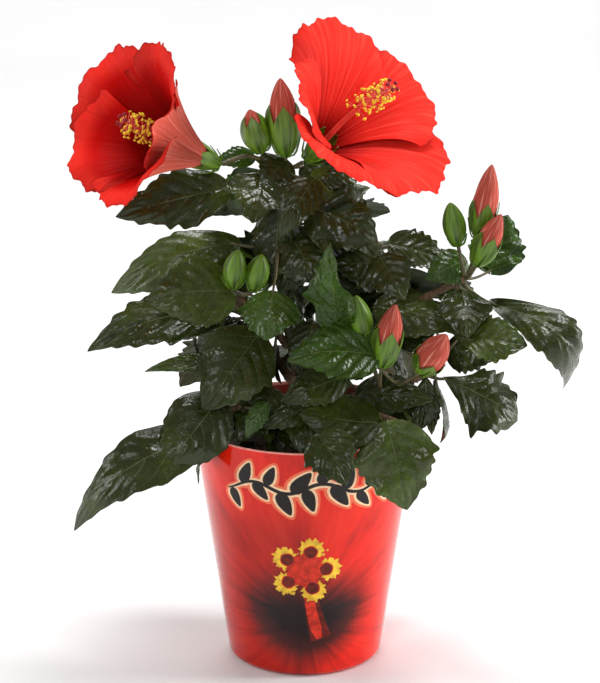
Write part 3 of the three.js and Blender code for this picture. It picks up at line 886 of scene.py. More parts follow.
# Small leaves: limb, share of its length, way from there to the blade's foot, length and width (mm), heading
# and slope (degrees) and finish.
SMALL_LEAVES = [
    ("leader", 1.0, (23, -18, -5), 40, 24, 220, -50, "leaf"),
    ("leader", 1.0, (17, 8, -4), 30, 24, 345, -20, "leaf"),
    ("leader", 0.93, (22, 0, -5), 36, 22, 20, -25, "soft_leaf"),
    ("back_right_bough", 0.95, (6, -13, -9), 34, 34, 200, 5, "leaf"),
    ("leader", 0.66, (6, -8, -2), 34, 40, 320, -50, "leaf"),
    ("leader", 0.25, (16, -15, 2), 34, 24, 235, -65, "leaf"),
    ("low_front_bough", 0.3, (-6, -12, 14), 40, 20, 200, -20, "leaf"),
    ("low_left_bough", 0.3, (-4, -6, 8), 38, 30, 230, -35, "leaf"),
    ("low_front_bough", 0.15, (-4, -14, 14), 36, 32, 255, -40, "leaf"),
    ("right_bough", 0.7, (18, 8, -34), 30, 26, 355, -10, "leaf"),
    ("low_right_bough", 0.4, (2, -6, 4), 46, 26, 345, 0, "leaf"),
    ("right_bough", 0.55, (2, -6, -16), 32, 30, 10, 35, "leaf"),
    ("leader", 0.85, (-14, 8, -2), 26, 18, 190, -5, "young_leaf"),
    ("right_bough", 0.96, (2, 8, 10), 28, 24, 200, -20, "young_leaf"),
    ("back_right_bough", 0.72, (2, -6, -2), 24, 24, 210, -30, "leaf"),
    ("leader", 0.55, (11, -3, 2), 28, 30, 220, -55, "leaf"),
    ("leader", 0.57, (9, 3, 2), 24, 24, 330, -50, "leaf"),
    ("low_right_bough", 0.45, (-10, -8, 15), 44, 26, 200, -15, "leaf"),
    ("right_bough", 0.18, (-1, -11, 2), 26, 24, 345, -35, "leaf"),
    ("low_left_bough", 0.75, (14, -20, 9), 24, 12, 220, -50, "young_leaf"),
    ("low_left_bough", 0.5, (6, -4, 11), 30, 26, 235, -55, "leaf"),
    ("low_right_bough", 0.6, (1, 3, 4), 32, 28, 350, -50, "leaf"),
    ("low_right_bough", 0.9, (0, 13, -12), 30, 14, 300, -75, "soft_leaf"),
    ("leader", 0.98, (-14, 4, 4), 24, 14, 190, -5, "young_leaf"),
    ("leader", 1.0, (6, -2, 3), 24, 26, 225, -30, "leaf"),
    ("right_bough", 0.47, (1, -12, -4), 24, 24, 150, 15, "leaf"),
]


def heading_slope(heading, slope):
    """Direction of a heading, from +X towards +Y, and of a slope, both in degrees."""
    heading, slope = math.radians(heading), math.radians(slope)
    level = math.cos(slope)
    return np.array([math.cos(heading) * level, math.sin(heading) * level, math.sin(slope)])


def free_leaf(root, foot, axis, span, width, look, arch=0.1):
    """A leaf that hangs from root, whose face turns as near to look as its axis allows."""
    face = np.cross(unit(np.cross(axis, look)), axis)
    side = np.cross(axis, face)
    return dict(root=root, foot=foot, tip=foot + axis * span, side=side, face=face, width=width, arch=arch)


def nodes_ending(ending):
    """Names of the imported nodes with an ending, in order."""
    return sorted(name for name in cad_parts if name.endswith(ending))


# Pads whose middles stand between these, from left to right, belong to the centre.
CENTRE_FROM = -20 * MM
CENTRE_TO = 50 * MM
LEAF_FINISHES = ("leaf", "soft_leaf", "young_leaf", "leaf_back", "vein", "young_vein", "stalk")


def group_of(name):
    """The piece that a leaf pad belongs to, by where it stands."""
    if name.startswith("back_"):
        return "back_leaves"
    low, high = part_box(name)
    middle = (low.x + high.x) / 2
    if middle < CENTRE_FROM:
        return "left_leaves"
    return "right_leaves" if middle > CENTRE_TO else "centre_leaves"


# Inner foliage: shoots into each mass, forks of a shoot, a shoot's radius, how much thinner its forks are,
# how far out in the mass a shoot and its forks reach, and the points along each.
MASS_SHOOTS = 5
SHOOT_FORKS = 2
SHOOT_RADIUS = 1.1 * MM
FORK_THINNING = 0.75
SHOOT_REACHES = (0.3, 0.5)
SHOOT_POINTS = 10

# Runs of leaves along the limbs: limb, shares of its length where a run starts and ends, leaves, the heading
# they face, and the least and most slope of a blade (degrees).
LEAF_RUNS = [
    ("leader", 0.42, 0.97, 6, 90, (-45, -5)),
    ("back_bough", 0.2, 0.95, 5, 90, (-45, -5)),
    ("back_left_bough", 0.25, 0.95, 4, 90, (-45, -5)),
    ("right_bough", 0.3, 0.9, 4, 90, (-45, -5)),
    ("back_right_bough", 0.4, 1.0, 3, 90, (-45, -5)),
    ("leader", 0.3, 0.55, 2, 180, (-80, -55)),
    ("back_left_bough", 0.5, 1.0, 3, 180, (-80, -55)),
    ("left_bough", 0.6, 1.0, 2, 180, (-80, -55)),
    ("low_left_bough", 0.6, 1.0, 2, 180, (-80, -60)),
    ("leader", 0.5, 0.9, 3, 0, (-80, -55)),
    ("back_bough", 0.5, 0.9, 3, 0, (-80, -55)),
    ("right_bough", 0.5, 0.9, 3, 0, (-80, -60)),
    ("low_right_bough", 0.7, 1.0, 2, 0, (-80, -60)),
]


def nearest_on_limbs(place):
    """The point of the limbs' middle lines that is nearest to a place."""
    points = np.concatenate([limb_line(name)[0] for name in LIMB_PARENTS if not name.endswith("_stalk")])
    return points[np.argmin(np.linalg.norm(points - place, axis=1))]


def grow_shoot(twigs, leaves, sizes, rng, start, mass, out, level):
    """Grows one shoot from start out into its mass: it forks once, and each end has a leaf of its own."""
    middle, half = mass
    goal = middle + out * half * SHOOT_REACHES[level]
    sway = np.array([rng.uniform(-1, 1) for _ in range(3)]) * 0.1 * np.linalg.norm(goal - start)
    line = smooth_line([start, (start + goal) / 2 + sway, goal], SHOOT_POINTS)
    twigs.tube(line, SHOOT_RADIUS * FORK_THINNING**level * np.linspace(1, 0.7, SHOOT_POINTS), 6, "stalk")
    if level == 0:
        for _ in range(SHOOT_FORKS):
            turned = unit(out + [rng.uniform(-0.7, 0.7) for _ in range(3)])
            grow_shoot(twigs, leaves, sizes, rng, goal, mass, turned, 1)
    axis = unit(out * half / half.max() + (0, 0, -0.2))
    span = rng.uniform(0.65, 0.95) * half.max()
    width = span * rng.uniform(0.6, 0.8)
    leaf = free_leaf(goal, goal + axis * 3 * MM, axis, span, width, (0.2, -0.4, 1), 0.12)
    add_leaf(leaves, styled(leaf, rng), sizes, fine=False)


def grow_run(leaves, sizes, rng, limb, start, end, count, facing, slopes):
    """Leaves that stand out by turns to the left and right along one face of a limb."""
    for index in range(count):
        root = on_limb(limb, start + (end - start) * index / (count - 1))
        hand = 1 if index % 2 else -1
        axis = heading_slope(facing + hand * rng.uniform(10, 75), rng.uniform(*slopes))
        foot = root + axis * rng.uniform(8, 16) * MM
        span = rng.uniform(36, 50) * MM
        leaf = free_leaf(root, foot, axis, span, span * rng.uniform(0.6, 0.8), heading_slope(facing, 40))
        add_leaf(leaves, styled(leaf, rng), sizes, fine=False)


class HIBISCUS_OT_leaves(Operator):
    """Large leaves, one for each leaf pad of the frame."""

    bl_idname = "hibiscus.leaves"
    bl_label = "Large leaves"

    def execute(self, context):
        sizes = context.scene.hibiscus_leaf
        groups = {}
        for index, name in enumerate(nodes_ending("_leaf")):
            groups.setdefault(group_of(name), []).append((index, name))
        for group, members in sorted(groups.items()):
            sheaf = Sheaf(*LEAF_FINISHES)
            for index, name in members:
                rng = random.Random(PAD_SEED + index)
                add_leaf(sheaf, styled(blade_frame(name), rng, **LEAF_STYLES.get(name, {})), sizes)
            sheaf.piece(group, "leaves", [name for _, name in members])
        return {"FINISHED"}


class HIBISCUS_OT_small_leaves(Operator):
    """Small leaves on the boughs, between the large ones."""

    bl_idname = "hibiscus.small_leaves"
    bl_label = "Small leaves"

    def execute(self, context):
        sizes = context.scene.hibiscus_leaf
        left, right = Sheaf(*LEAF_FINISHES), Sheaf(*LEAF_FINISHES)
        for index, (limb, place, way, span, width, heading, slope, finish) in enumerate(SMALL_LEAVES):
            rng = random.Random(SMALL_LEAF_SEED + index)
            root = on_limb(limb, place)
            foot = root + np.array(way) * MM
            leaf = free_leaf(root, foot, heading_slope(heading, slope), span * MM, width * MM, (0, -1, 0.6))
            add_leaf(right if "right" in limb else left, styled(leaf, rng, finish=finish), sizes)
        left.piece("small_left_leaves", "leaves")
        right.piece("small_right_leaves", "leaves")
        return {"FINISHED"}


class HIBISCUS_OT_inner_growth(Operator):
    """Twigs and leaves that grow on from the limbs into the inner masses."""

    bl_idname = "hibiscus.inner_growth"
    bl_label = "Inner growth"

    def execute(self, context):
        sizes = context.scene.hibiscus_leaf
        twigs, leaves, outer = Sheaf("stalk"), Sheaf(*LEAF_FINISHES), Sheaf(*LEAF_FINISHES)
        for number, name in enumerate(nodes_ending("_mass")):
            low, high = (np.array(corner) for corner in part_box(name))
            mass = (low + high) / 2, (high - low) / 2
            start = nearest_on_limbs(mass[0])
            rng = random.Random(MASS_SEED + number)
            for index in range(MASS_SHOOTS):
                turn = index * GOLDEN_ANGLE
                rise = -0.5 + 1.3 * index / (MASS_SHOOTS - 1)
                across = math.sqrt(1 - rise**2)
                out = np.array([math.cos(turn) * across, math.sin(turn) * across, rise])
                grow_shoot(twigs, leaves, sizes, rng, start, mass, out, 0)
        for number, run in enumerate(LEAF_RUNS):
            grow_run(outer, sizes, random.Random(RUN_SEED + number), *run)
        twigs.piece("twigs", "green_shoot")
        leaves.piece("inner_leaves", "leaves", nodes_ending("_mass"))
        outer.piece("outer_leaves", "leaves")
        return {"FINISHED"}


# ---------------------------------------------------------------------------------------------- stems


LIMB_POINTS = 60
LIMB_SIDES = 14
LIMB_KNOTS = 6
BLOOM_STALK_SLIMNESS = 0.65


class HIBISCUS_OT_stems(Operator):
    """Trunk, boughs and flower stalks with the relief of their bark."""

    bl_idname = "hibiscus.stems"
    bl_label = "Stems"

    def execute(self, context):
        rng = np.random.default_rng(BARK_SEED)
        share_along = np.linspace(0, 1, LIMB_POINTS)
        knots = 1 + 0.16 * np.exp(-(((share_along * LIMB_KNOTS % 1) - 0.5) / 0.09) ** 2)
        woody = [name for name in LIMB_PARENTS if name not in GREEN_LIMBS]
        for piece_name, finish, slot, names in (
            ("woody_stems", "bark", "bark", woody),
            ("green_shoots", "stalk", "green_shoot", GREEN_LIMBS),
        ):
            sheaf = Sheaf(finish)
            for name in names:
                middles, radii = limb_line(name)
                thick = np.interp(share_along, np.linspace(0, 1, len(radii)), radii)
                thick = thick * knots * (1 + rng.uniform(-0.03, 0.03, LIMB_POINTS))
                if name.endswith("_stalk"):
                    thick = thick * BLOOM_STALK_SLIMNESS
                sheaf.tube(smooth_line(middles, LIMB_POINTS), thick, LIMB_SIDES, finish)
            sheaf.piece(piece_name, slot, names)
        return {"FINISHED"}


# ---------------------------------------------------------------------------------------------- blooms


# A bloom has five petals, five sepals and five stigma arms.
PARTS = 5

# Faces of a petal from throat to rim and from side to side, and how far up the funnel it starts.
PETAL_ROWS = 60
PETAL_COLUMNS = 72
PETAL_START = 10 * MM

# Calyx of a bloom: its radius, its height and the share of the height that is free lobes, and its bracts.
CALYX_RADIUS = 7.5 * MM
CALYX_HEIGHT = 24 * MM
CALYX_LOBES = 0.4
SEPAL_THICKNESS = 0.4 * MM
BRACTS = 7
BRACT_POINTS = 8

# Column of a bloom: points along it, radii of an anther's thread and a stigma's arm, and the arm's length.
COLUMN_POINTS = 40
THREAD_RADIUS = 0.25 * MM
ARM_RADIUS = 0.4 * MM
ARM_LENGTH = 6 * MM


def bloom_frame(name, stalk):
    """A bloom's foot, axis, two directions across it, rim radius and depth, from its solid."""
    points, _ = node_mesh(name)
    stalk_end = limb_line(stalk)[0][-1]
    foot = points[np.argmin(np.linalg.norm(points - stalk_end, axis=1))]
    away = points - foot
    distance = np.linalg.norm(away, axis=1)
    far = away[distance > 0.55 * distance.max()]
    axis = unit(far.mean(0))
    for _ in range(3):
        out = np.linalg.norm(far - np.outer(far @ axis, axis), axis=1)
        rim = far[out > 0.8 * out.max()]
        axis = unit((rim.min(0) + rim.max(0)) / 2)
    rise = rim @ axis
    reach = np.linalg.norm(rim - np.outer(rise, axis), axis=1).mean()
    side = unit(np.cross(axis, (0, 0, 1)))
    return dict(foot=foot, axis=axis, side=side, up=np.cross(side, axis), rim=reach, depth=rise.mean())


def petal_points(bloom, sizes, number, s, t):
    """Points of one petal: s runs from the throat to the rim and t from one side to the other."""
    heading, stretch, height, width, dent = bloom["petals"][number]
    rng = random.Random(bloom["seed"] * 10 + number)
    phase, second = rng.uniform(0, 6), rng.uniform(0, 6)
    scallop = 0.022 * np.sin(11 * t + phase) + 0.016 * np.sin(25 * t + second) + 0.01 * np.sin(49 * t)
    reach = s * (1 - 0.25 * np.abs(t) ** 2.4 * s + scallop * s**8)
    radius = sizes.throat + (bloom["rim"] * stretch - sizes.throat) * reach ** bloom["open"]
    radius = radius * (1 - dent * np.cos(math.pi * t / 2) ** 2 * s**2)
    tall = bloom["depth"] * height - PETAL_START
    rise = PETAL_START + tall * (1 - (1 - np.clip(reach, 0, 1)) ** 1.7)
    turn = math.radians(heading) + t * width * (0.72 + 0.17 * s)
    lap = 2 * MM * t * np.clip(s * 1.6, 0, 1)
    frill = np.sin(4.1 * t + phase) * 0.6 + 0.5 * np.sin(9.5 * t + second) * s
    fold = 0.5 * np.sin(2.2 * t + second) * np.sin(math.pi * s)
    ridge = 0.14 * MM * np.sin(s * math.pi) * (np.sin(38 * t + phase) + 0.7 * np.sin(61 * t + second))
    lift = lap + sizes.ruffle * bloom["ruffle"] * (frill * s**3 + fold) + ridge
    curl = bloom["curl"] * bloom["rim"] * s**5 * stretch
    wide = radius - lift * 0.35 + curl * 0.2
    ring = spoke(turn, bloom["side"], bloom["up"])
    return skin_round(bloom["foot"], bloom["axis"], rise + lift * 0.94 - curl, wide, ring)


def sepal_edges(turn):
    """Share of the way from the middle of a sepal to its edge, round a calyx."""
    return np.abs(turn * PARTS / (2 * math.pi) % 1 - 0.5) * 2


def add_bract(sheaf, foot, axis, way, elbow, tip):
    """One narrow bract from the foot by its elbow to its tip, each a distance out and a distance up."""
    line = [foot, *(foot + way * out + axis * rise for out, rise in (elbow, tip))]
    radii = np.linspace(1.1, 0.45, BRACT_POINTS) * MM
    sheaf.tube(smooth_line(line, BRACT_POINTS), radii, 6, "calyx", flat=0.6)


def add_calyx(sheaf, bloom):
    """Five joined sepals that clasp the foot of a bloom, and the narrow bracts below them."""
    foot, axis, side, up = (bloom[key] for key in ("foot", "axis", "side", "up"))
    s, t = np.meshgrid(np.linspace(0, 1, 16), np.linspace(0, 2 * math.pi, 61), indexing="ij")
    top = CALYX_HEIGHT * (1 - CALYX_LOBES + CALYX_LOBES * (1 - sepal_edges(t)) ** 0.8)
    rise = top * s
    bulge = 0.35 + 0.75 * np.sin(np.clip(rise / CALYX_HEIGHT, 0, 1) * 1.9) ** 0.8
    wide = CALYX_RADIUS * bulge * (1 + 0.05 * np.cos(PARTS * t))
    points = skin_round(foot, axis, rise, wide, spoke(t, side, up))
    places = np.stack([t / (2 * math.pi), s], -1)
    sheaf.sheet(points[:, ::-1], SEPAL_THICKNESS, "calyx", "calyx", places[:, ::-1])
    for turn in full_turn(BRACTS) + 0.3:
        elbow, tip = (CALYX_RADIUS * 0.7, CALYX_HEIGHT * 0.08), (CALYX_RADIUS * 1.25, CALYX_HEIGHT * 0.38)
        add_bract(sheaf, foot, axis, spoke(turn, side, up), elbow, tip)


def add_column(sheaf, bloom, sizes):
    """The column with its anthers on fine threads and its five stigma pads."""
    foot, axis, side, up = (bloom[key] for key in ("foot", "axis", "side", "up"))
    rng = random.Random(bloom["seed"])
    tall = axis * bloom["column"]
    bend = up * bloom["column_bend"]
    start = foot + axis * 8 * MM
    line = smooth_line([start, foot + tall * 0.6 - bend * 0.3, foot + tall + bend], COLUMN_POINTS)
    sheaf.tube(line, np.linspace(1.25, 0.7, COLUMN_POINTS) * sizes.column_radius, 12, "column")
    for k in range(sizes.anthers):
        place = 0.98 - 0.42 * (k / sizes.anthers) ** 1.5
        root = line[int(place * (COLUMN_POINTS - 1))]
        turn = k * GOLDEN_ANGLE + rng.uniform(-0.3, 0.3)
        way = unit(spoke(turn, side, up) + axis * rng.uniform(-0.25, 0.55))
        tip = root + way * rng.uniform(5.0, 8.6) * MM
        bowed = (root + tip) / 2 + axis * 0.8 * MM
        sheaf.tube(smooth_line([root, bowed, tip], 5), THREAD_RADIUS, 5, "column")
        size = sizes.anther_radius * rng.uniform(0.75, 1.25)
        beside = tip + unit(np.cross(way, axis)) * size * 0.8
        sheaf.ball(tip, (size, size * 0.65), "anther", way, 6, 8)
        sheaf.ball(beside, (size * 0.7, size * 0.6), "anther", way, 5, 7)
    end = line[-1]
    for turn in full_turn(PARTS) + 0.4:
        way = unit(axis * 1.3 + spoke(turn, side, up))
        tip = end + way * ARM_LENGTH
        sheaf.tube(smooth_line([end, end + axis * 2 * MM + way * MM, tip], 6), ARM_RADIUS, 6, "column")
        sheaf.ball(tip, (sizes.stigma_radius, sizes.stigma_radius * 0.75), "stigma", way, 7, 9)


# Each petal of a bloom: heading round the axis (degrees), reach, height and width beside an even petal's and
# how far its middle bends in towards the column.
BLOOMS = [
    dict(
        node="left_bloom",
        stalk="left_bloom_stalk",
        seed=3,
        # Its face is painted dark as shade, lighter only near the rim.
        face="deep_petal",
        petals=[
            (20, 1.24, 1.0, 0.96, 0.0),
            (94, 1.04, 1.0, 1.04, 0.0),
            (170, 0.98, 1.0, 1.0, 0.34),
            (228, 1.10, 1.0, 1.05, 0.0),
            (320, 1.04, 1.0, 1.2, 0.0),
        ],
        open=1.08,
        curl=0.02,
        ruffle=1.25,
        column=73 * MM,
        column_bend=0.0,
    ),
    dict(
        node="right_bloom",
        stalk="right_bloom_stalk",
        seed=4,
        face="petal",
        petals=[
            (26, 0.88, 1.0, 1.0, 0.14),
            (113, 1.08, 1.0, 0.92, 0.0),
            (175, 1.05, 1.0, 1.05, 0.0),
            (248, 1.12, 1.0, 1.1, 0.0),
            (316, 1.10, 0.97, 1.1, 0.14),
        ],
        open=1.1,
        curl=0.05,
        ruffle=0.7,
        column=81 * MM,
        column_bend=-4 * MM,
    ),
]


class HIBISCUS_OT_blooms(Operator):
    """Open blooms: five ruffled petals, calyx, column, anthers and stigma pads."""

    bl_idname = "hibiscus.blooms"
    bl_label = "Blooms"

    def execute(self, context):
        sizes = context.scene.hibiscus_bloom
        parts = Sheaf("calyx", "column", "anther", "stigma")
        s = np.linspace(0, 1, PETAL_ROWS + 1)
        s, t = np.meshgrid(s, np.linspace(-1, 1, PETAL_COLUMNS + 1), indexing="ij")
        places = np.stack([t / 2 + 0.5, s], -1)
        for bloom in BLOOMS:
            bloom = {**bloom, **bloom_frame(bloom["node"], bloom["stalk"])}
            petals = Sheaf(bloom["face"], "petal_back")
            for number in range(len(bloom["petals"])):
                points = petal_points(bloom, sizes, number, s, t)
                petals.sheet(points, sizes.thickness, bloom["face"], "petal_back", places)
            petals.piece(bloom["node"] + "_petals", "petals", [bloom["node"]])
            add_calyx(parts, bloom)
            add_column(parts, bloom, sizes)
        parts.piece("bloom_parts", "petals")
        return {"FINISHED"}


# ---------------------------------------------------------------------------------------------- buds

# Each bud of a cluster: foot and tip as shares of the cluster's box, radius (mm) and how much is petal.
BUDS = {
    "top_buds": [
        ((0.30, 0.50, 0.13), (0.10, 0.35, 0.64), 8.5, 0.25),
        ((0.72, 0.50, 0.08), (0.62, 0.35, 1.00), 10.0, 0.45),
    ],
    "left_buds": [
        ((0.18, 0.35, 0.28), (0.30, 0.15, 1.00), 7.2, 0.0),
        ((0.66, 0.40, 0.22), (0.84, 0.15, 0.92), 7.2, 0.0),
    ],
    "right_buds": [
        ((0.25, 0.70, 0.28), (0.10, 0.60, 0.67), 7.0, 0.0),
        ((0.60, 0.75, 0.32), (0.80, 0.62, 1.00), 8.5, 0.6),
        ((0.55, 0.40, 0.14), (0.95, 0.12, 0.62), 8.0, 0.5),
    ],
    "front_buds": [
        ((0.16, 0.60, 0.53), (0.06, 0.40, 1.00), 7.0, 0.0),
        ((0.32, 0.45, 0.30), (0.45, 0.15, 0.95), 9.0, 0.5),
        ((0.70, 0.60, 0.22), (0.96, 0.25, 0.64), 10.0, 0.7),
    ],
}

# Where each cluster's stalks spring from: limb and share of its length.
BUD_KNOTS = {
    "top_buds": ("leader", 1.0),
    "left_buds": ("left_bough", 0.95),
    "right_buds": ("right_bough", 1.0),
    "front_buds": ("low_right_bough", 0.6),
}


BUD_ROWS = 28
BUD_COLUMNS = 41
BUD_BRACTS = 6
BUD_STALK_POINTS = 10


def bud_outline(share_along, fullness, roundness):
    """Radius of a bud along its length, beside its greatest."""
    return np.sin(math.pi * share_along**fullness) ** roundness


def add_bud(sheaf, foot, tip, radius, petal_share, rng):
    """One pointed bud: rolled petals inside a five-lobed calyx, with a collar of bracts."""
    axis = unit(tip - foot)
    tall = np.linalg.norm(tip - foot)
    side = unit(np.cross(axis, (0.2, 0.9, 0.3)))
    up = np.cross(side, axis)
    s, t = np.meshgrid(np.linspace(0, 1, BUD_ROWS), np.linspace(0, 2 * math.pi, BUD_COLUMNS), indexing="ij")
    ring = spoke(t, side, up)
    quads = grid_quads(BUD_ROWS, BUD_COLUMNS)
    places = np.stack([t / (2 * math.pi), s], -1)
    if petal_share > 0:
        roll = (t * PARTS / (2 * math.pi) + 2.2 * s) % 1
        wide = radius * 0.92 * bud_outline(np.maximum(s, 0.001), 0.85, 0.7) * (0.95 + 0.10 * roll)
        sheaf.add(skin_round(foot, axis, s * tall, wide, ring), quads, "bud_petal", places)
        rise = s * np.minimum(0.92 - petal_share + 0.22 * (1 - sepal_edges(t)) ** 0.7, 0.97)
        outline = bud_outline(np.maximum(rise, 0.001), 0.85, 0.7) + 0.06
        wide = radius * outline * (1 + 0.05 * np.cos(PARTS * t))
        points = skin_round(foot, axis, rise * tall, wide, ring)
        sheaf.sheet(points[:, ::-1], SEPAL_THICKNESS, "calyx", "calyx", places[:, ::-1])
    else:
        wide = radius * bud_outline(s, 0.86, 0.66) * (0.97 + 0.07 * np.abs(np.cos(PARTS / 2 * t)))
        sheaf.add(skin_round(foot, axis, s * tall, wide, ring), quads, "calyx", places)
    for turn in full_turn(BUD_BRACTS):
        way = spoke(turn + rng.uniform(-0.2, 0.2), side, up)
        tip_rise = tall * 0.3 * rng.uniform(0.8, 1.15)
        add_bract(sheaf, foot, axis, way, (radius * 0.6, tall * 0.05), (radius * 1.06, tip_rise))


class HIBISCUS_OT_buds(Operator):
    """Clusters of buds on their stalks."""

    bl_idname = "hibiscus.buds"
    bl_label = "Buds"

    def execute(self, context):
        sheaf = Sheaf("calyx", "bud_petal", "stalk")
        rng = random.Random(BUD_SEED)
        for name, buds in BUDS.items():
            low, high = (np.array(corner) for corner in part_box(name))
            limb, place = BUD_KNOTS[name]
            knot = on_limb(limb, place)
            for foot_share, tip_share, radius, petal_share in buds:
                foot = low + (high - low) * foot_share
                tip = low + (high - low) * tip_share
                add_bud(sheaf, foot, tip, radius * MM, petal_share, rng)
                bend = knot * 0.4 + foot * 0.6 - (tip - foot) * 0.12
                line = smooth_line([knot, bend, foot], BUD_STALK_POINTS)
                sheaf.tube(line, np.linspace(1.5, 1.2, BUD_STALK_POINTS) * MM, 8, "stalk")
        sheaf.piece("bud_clusters", "buds", list(BUDS))
        return {"FINISHED"}


# ---------------------------------------------------------------------------------------------- pot


# Turned skins of the pot: sides round it, the floor's height inside, and the depth of the rim's band.
POT_SIDES = 144
POT_FLOOR = 4 * MM
RIM_BAND = 1 * MM
AXIS_RADIUS = 0.01 * MM


def pot_outline():
    """Height of the pot, and the radii of its wall at the rim and where it would meet the ground."""
    points, _ = node_mesh("pot")
    radii = np.hypot(points[:, 0], points[:, 1])
    heights = points[:, 2]
    top = heights.max()
    rim = radii[heights > top - 0.1 * MM].max()
    low_down = heights < 8 * MM
    foot = radii[(heights > 4 * MM) & low_down].max()
    foot_height = heights[(radii > foot - 0.01 * MM) & low_down].max()
    return top, rim, rim - top * (rim - foot) / (top - foot_height)


def wall_radius(height):
    """Radius of the pot's wall at a height."""
    top, rim, foot = pot_outline()
    return foot + (rim - foot) * height / top


def add_turned(sheaf, profile, finish):
    """A turned skin round the pot's axis, from a profile of radii and heights."""
    radius, height = np.asarray(profile).T
    ring = spoke(full_turn(POT_SIDES), (1, 0, 0), (0, 1, 0))
    points = skin_round(np.zeros(3), np.array([0, 0, 1]), height[:, None], radius[:, None], ring)
    sheaf.add(points, grid_quads(len(profile), POT_SIDES, True), finish)


class HIBISCUS_OT_pot(Operator):
    """The tapered pot with its rounded foot and thin rim."""

    bl_idname = "hibiscus.pot"
    bl_label = "Pot"

    def execute(self, context):
        sizes = context.scene.hibiscus_pot
        top = pot_outline()[0]
        edge, wall = sizes.edge_round, sizes.wall
        sheaf = Sheaf("pot", "rim", "pot_inside")
        turn_in = wall_radius(edge) - edge
        outside = [(AXIS_RADIUS, 0.0), (turn_in * 0.5, 0.0)]
        quarter = np.linspace(0, math.pi / 2, 9)
        outside += [(turn_in + edge * math.sin(a), edge * (1 - math.cos(a))) for a in quarter]
        outside += [(wall_radius(z), z) for z in np.linspace(edge, top - RIM_BAND, 40)[1:]]
        add_turned(sheaf, outside, "pot")
        lip = wall / 2
        middle = wall_radius(top) - lip
        crown = [(wall_radius(top - RIM_BAND), top - RIM_BAND)]
        half = np.linspace(0, math.pi, 9)
        crown += [(middle + lip * math.cos(a), top - lip + lip * math.sin(a)) for a in half]
        add_turned(sheaf, [*crown, (middle - lip, top - 2 * RIM_BAND)], "rim")
        inside = [(wall_radius(z) - wall, z) for z in np.linspace(top - 2 * RIM_BAND, POT_FLOOR, 20)]
        add_turned(sheaf, [*inside, (AXIS_RADIUS, POT_FLOOR)], "pot_inside")
        sheaf.piece("printed_pot", "printed_pot", ["pot"])
        return {"FINISHED"}


# The print: discs in the flower's ring and how far the first is turned, points round a printed shape, loose
# grains of pollen, and the sprig's leaves and layers, each with its growth, its lift (mm) and its ink.
DISCS = 5
DISC_TURN = 0.05
PRINT_POINTS = 72
GRAINS = 30
SPRIG_LEAVES = 13
SPRIG_LAYERS = ((3.2, 0.04, "ink_peach"), (1.5, 0.08, "ink_cream"), (0.0, 0.14, "ink_black"))


class WallPrint:
    """Shapes printed on the pot's wall, from the middle of one face. Lifts off it are in millimetres."""

    def __init__(self, sheaf, turn):
        self.sheaf = sheaf
        self.turn = turn

    def lay(self, x, z, lift, finish, wrap=False):
        """Lays a grid of printed points on the wall."""
        radius = wall_radius(z)
        angle = self.turn + x / radius
        radius = radius + lift * MM
        points = np.stack([radius * np.sin(angle), -radius * np.cos(angle), z], -1)
        self.sheaf.add(points, grid_quads(*x.shape, wrap), finish)

    def shape(self, x, z, lift, finish):
        """A closed shape, as rings from its middle out to its outline."""
        out = np.linspace(0.02, 1, 5)[:, None]
        x, z = x.mean() + (x - x.mean()) * out, z.mean() + (z - z.mean()) * out
        self.lay(x, z, lift, finish, wrap=True)

    def blob(self, middle, radius, around, lift, finish):
        """A closed shape given by its radius at each angle round its middle."""
        x, z = middle
        self.shape(x + radius * np.cos(around), z + radius * np.sin(around), lift, finish)

    def ribbon(self, x, z, widths, lift, finish):
        """A line of changing width."""
        line = np.stack([x, z], -1)
        tangent = unit(np.gradient(line, axis=0))
        across = np.stack([-tangent[:, 1], tangent[:, 0]], -1)
        grid = line[:, None] + across[:, None] * (widths[:, None] * np.linspace(-0.5, 0.5, 5))[..., None]
        self.lay(grid[..., 0], grid[..., 1], lift, finish)


def print_flower(face, sizes, rng):
    """The printed column with its ring of discs and ruffled yellow rims."""
    height, ring = sizes.print_height, sizes.print_ring
    around = full_turn(PRINT_POINTS)
    t = np.linspace(0, 1, 24)
    x, z = (3 + 4 * t + 3 * t**2) * MM, height * (0.82 - 0.46 * t)
    face.ribbon(x, z, np.interp(t, [0, 1], [8, 13]) * MM, 0.05, "ink_maroon")
    face.ribbon(x - 1.2 * MM, z, np.interp(t, [0, 0.8, 1], [5.5, 7, 3]) * MM, 0.08, "ink_red")
    discs = list(enumerate(DISC_TURN + full_turn(DISCS)))
    for k, angle in discs:
        facing = 0.5 + 0.5 * np.cos(around - angle)
        crumbs = ((0.10, 11, k), (0.08, 19, 2 * k), (0.05, 31, 0))
        crumble = 1 + sum(depth * np.sin(count * around + start) for depth, count, start in crumbs)
        frill = 8.3 * MM * (0.62 + 0.38 * facing**0.6) * crumble
        out = ring + 1 * MM
        middle = out * math.cos(angle), height + out * math.sin(angle)
        face.blob(middle, frill, around, 0.10, "ink_yellow")
    petals = np.abs(np.cos(DISCS / 2 * (around - DISC_TURN)))
    core = ring * (0.78 + 0.22 * petals + 0.04 * np.sin(23 * around))
    face.blob((0, height), core, around, 0.13, "ink_red")
    for k, angle in discs:
        middle = ring * math.cos(angle), height + ring * math.sin(angle)
        for radius, lift, finish in ((4.6, 0.16, "ink_red"), (3.9, 0.19, "ink_maroon")):
            face.blob(middle, radius * MM * (1 + 0.03 * np.sin(5 * around + k)), around, lift, finish)
    for _ in range(GRAINS):
        angle = rng.uniform(0, 2 * math.pi)
        out = ring * rng.uniform(0.9, 1.55)
        grain = rng.uniform(0.4, 1.1) * MM * (1 + 0.2 * np.sin(3 * around))
        middle = out * math.cos(angle), height + out * math.sin(angle)
        face.blob(middle, grain, around, 0.145, "ink_yellow")


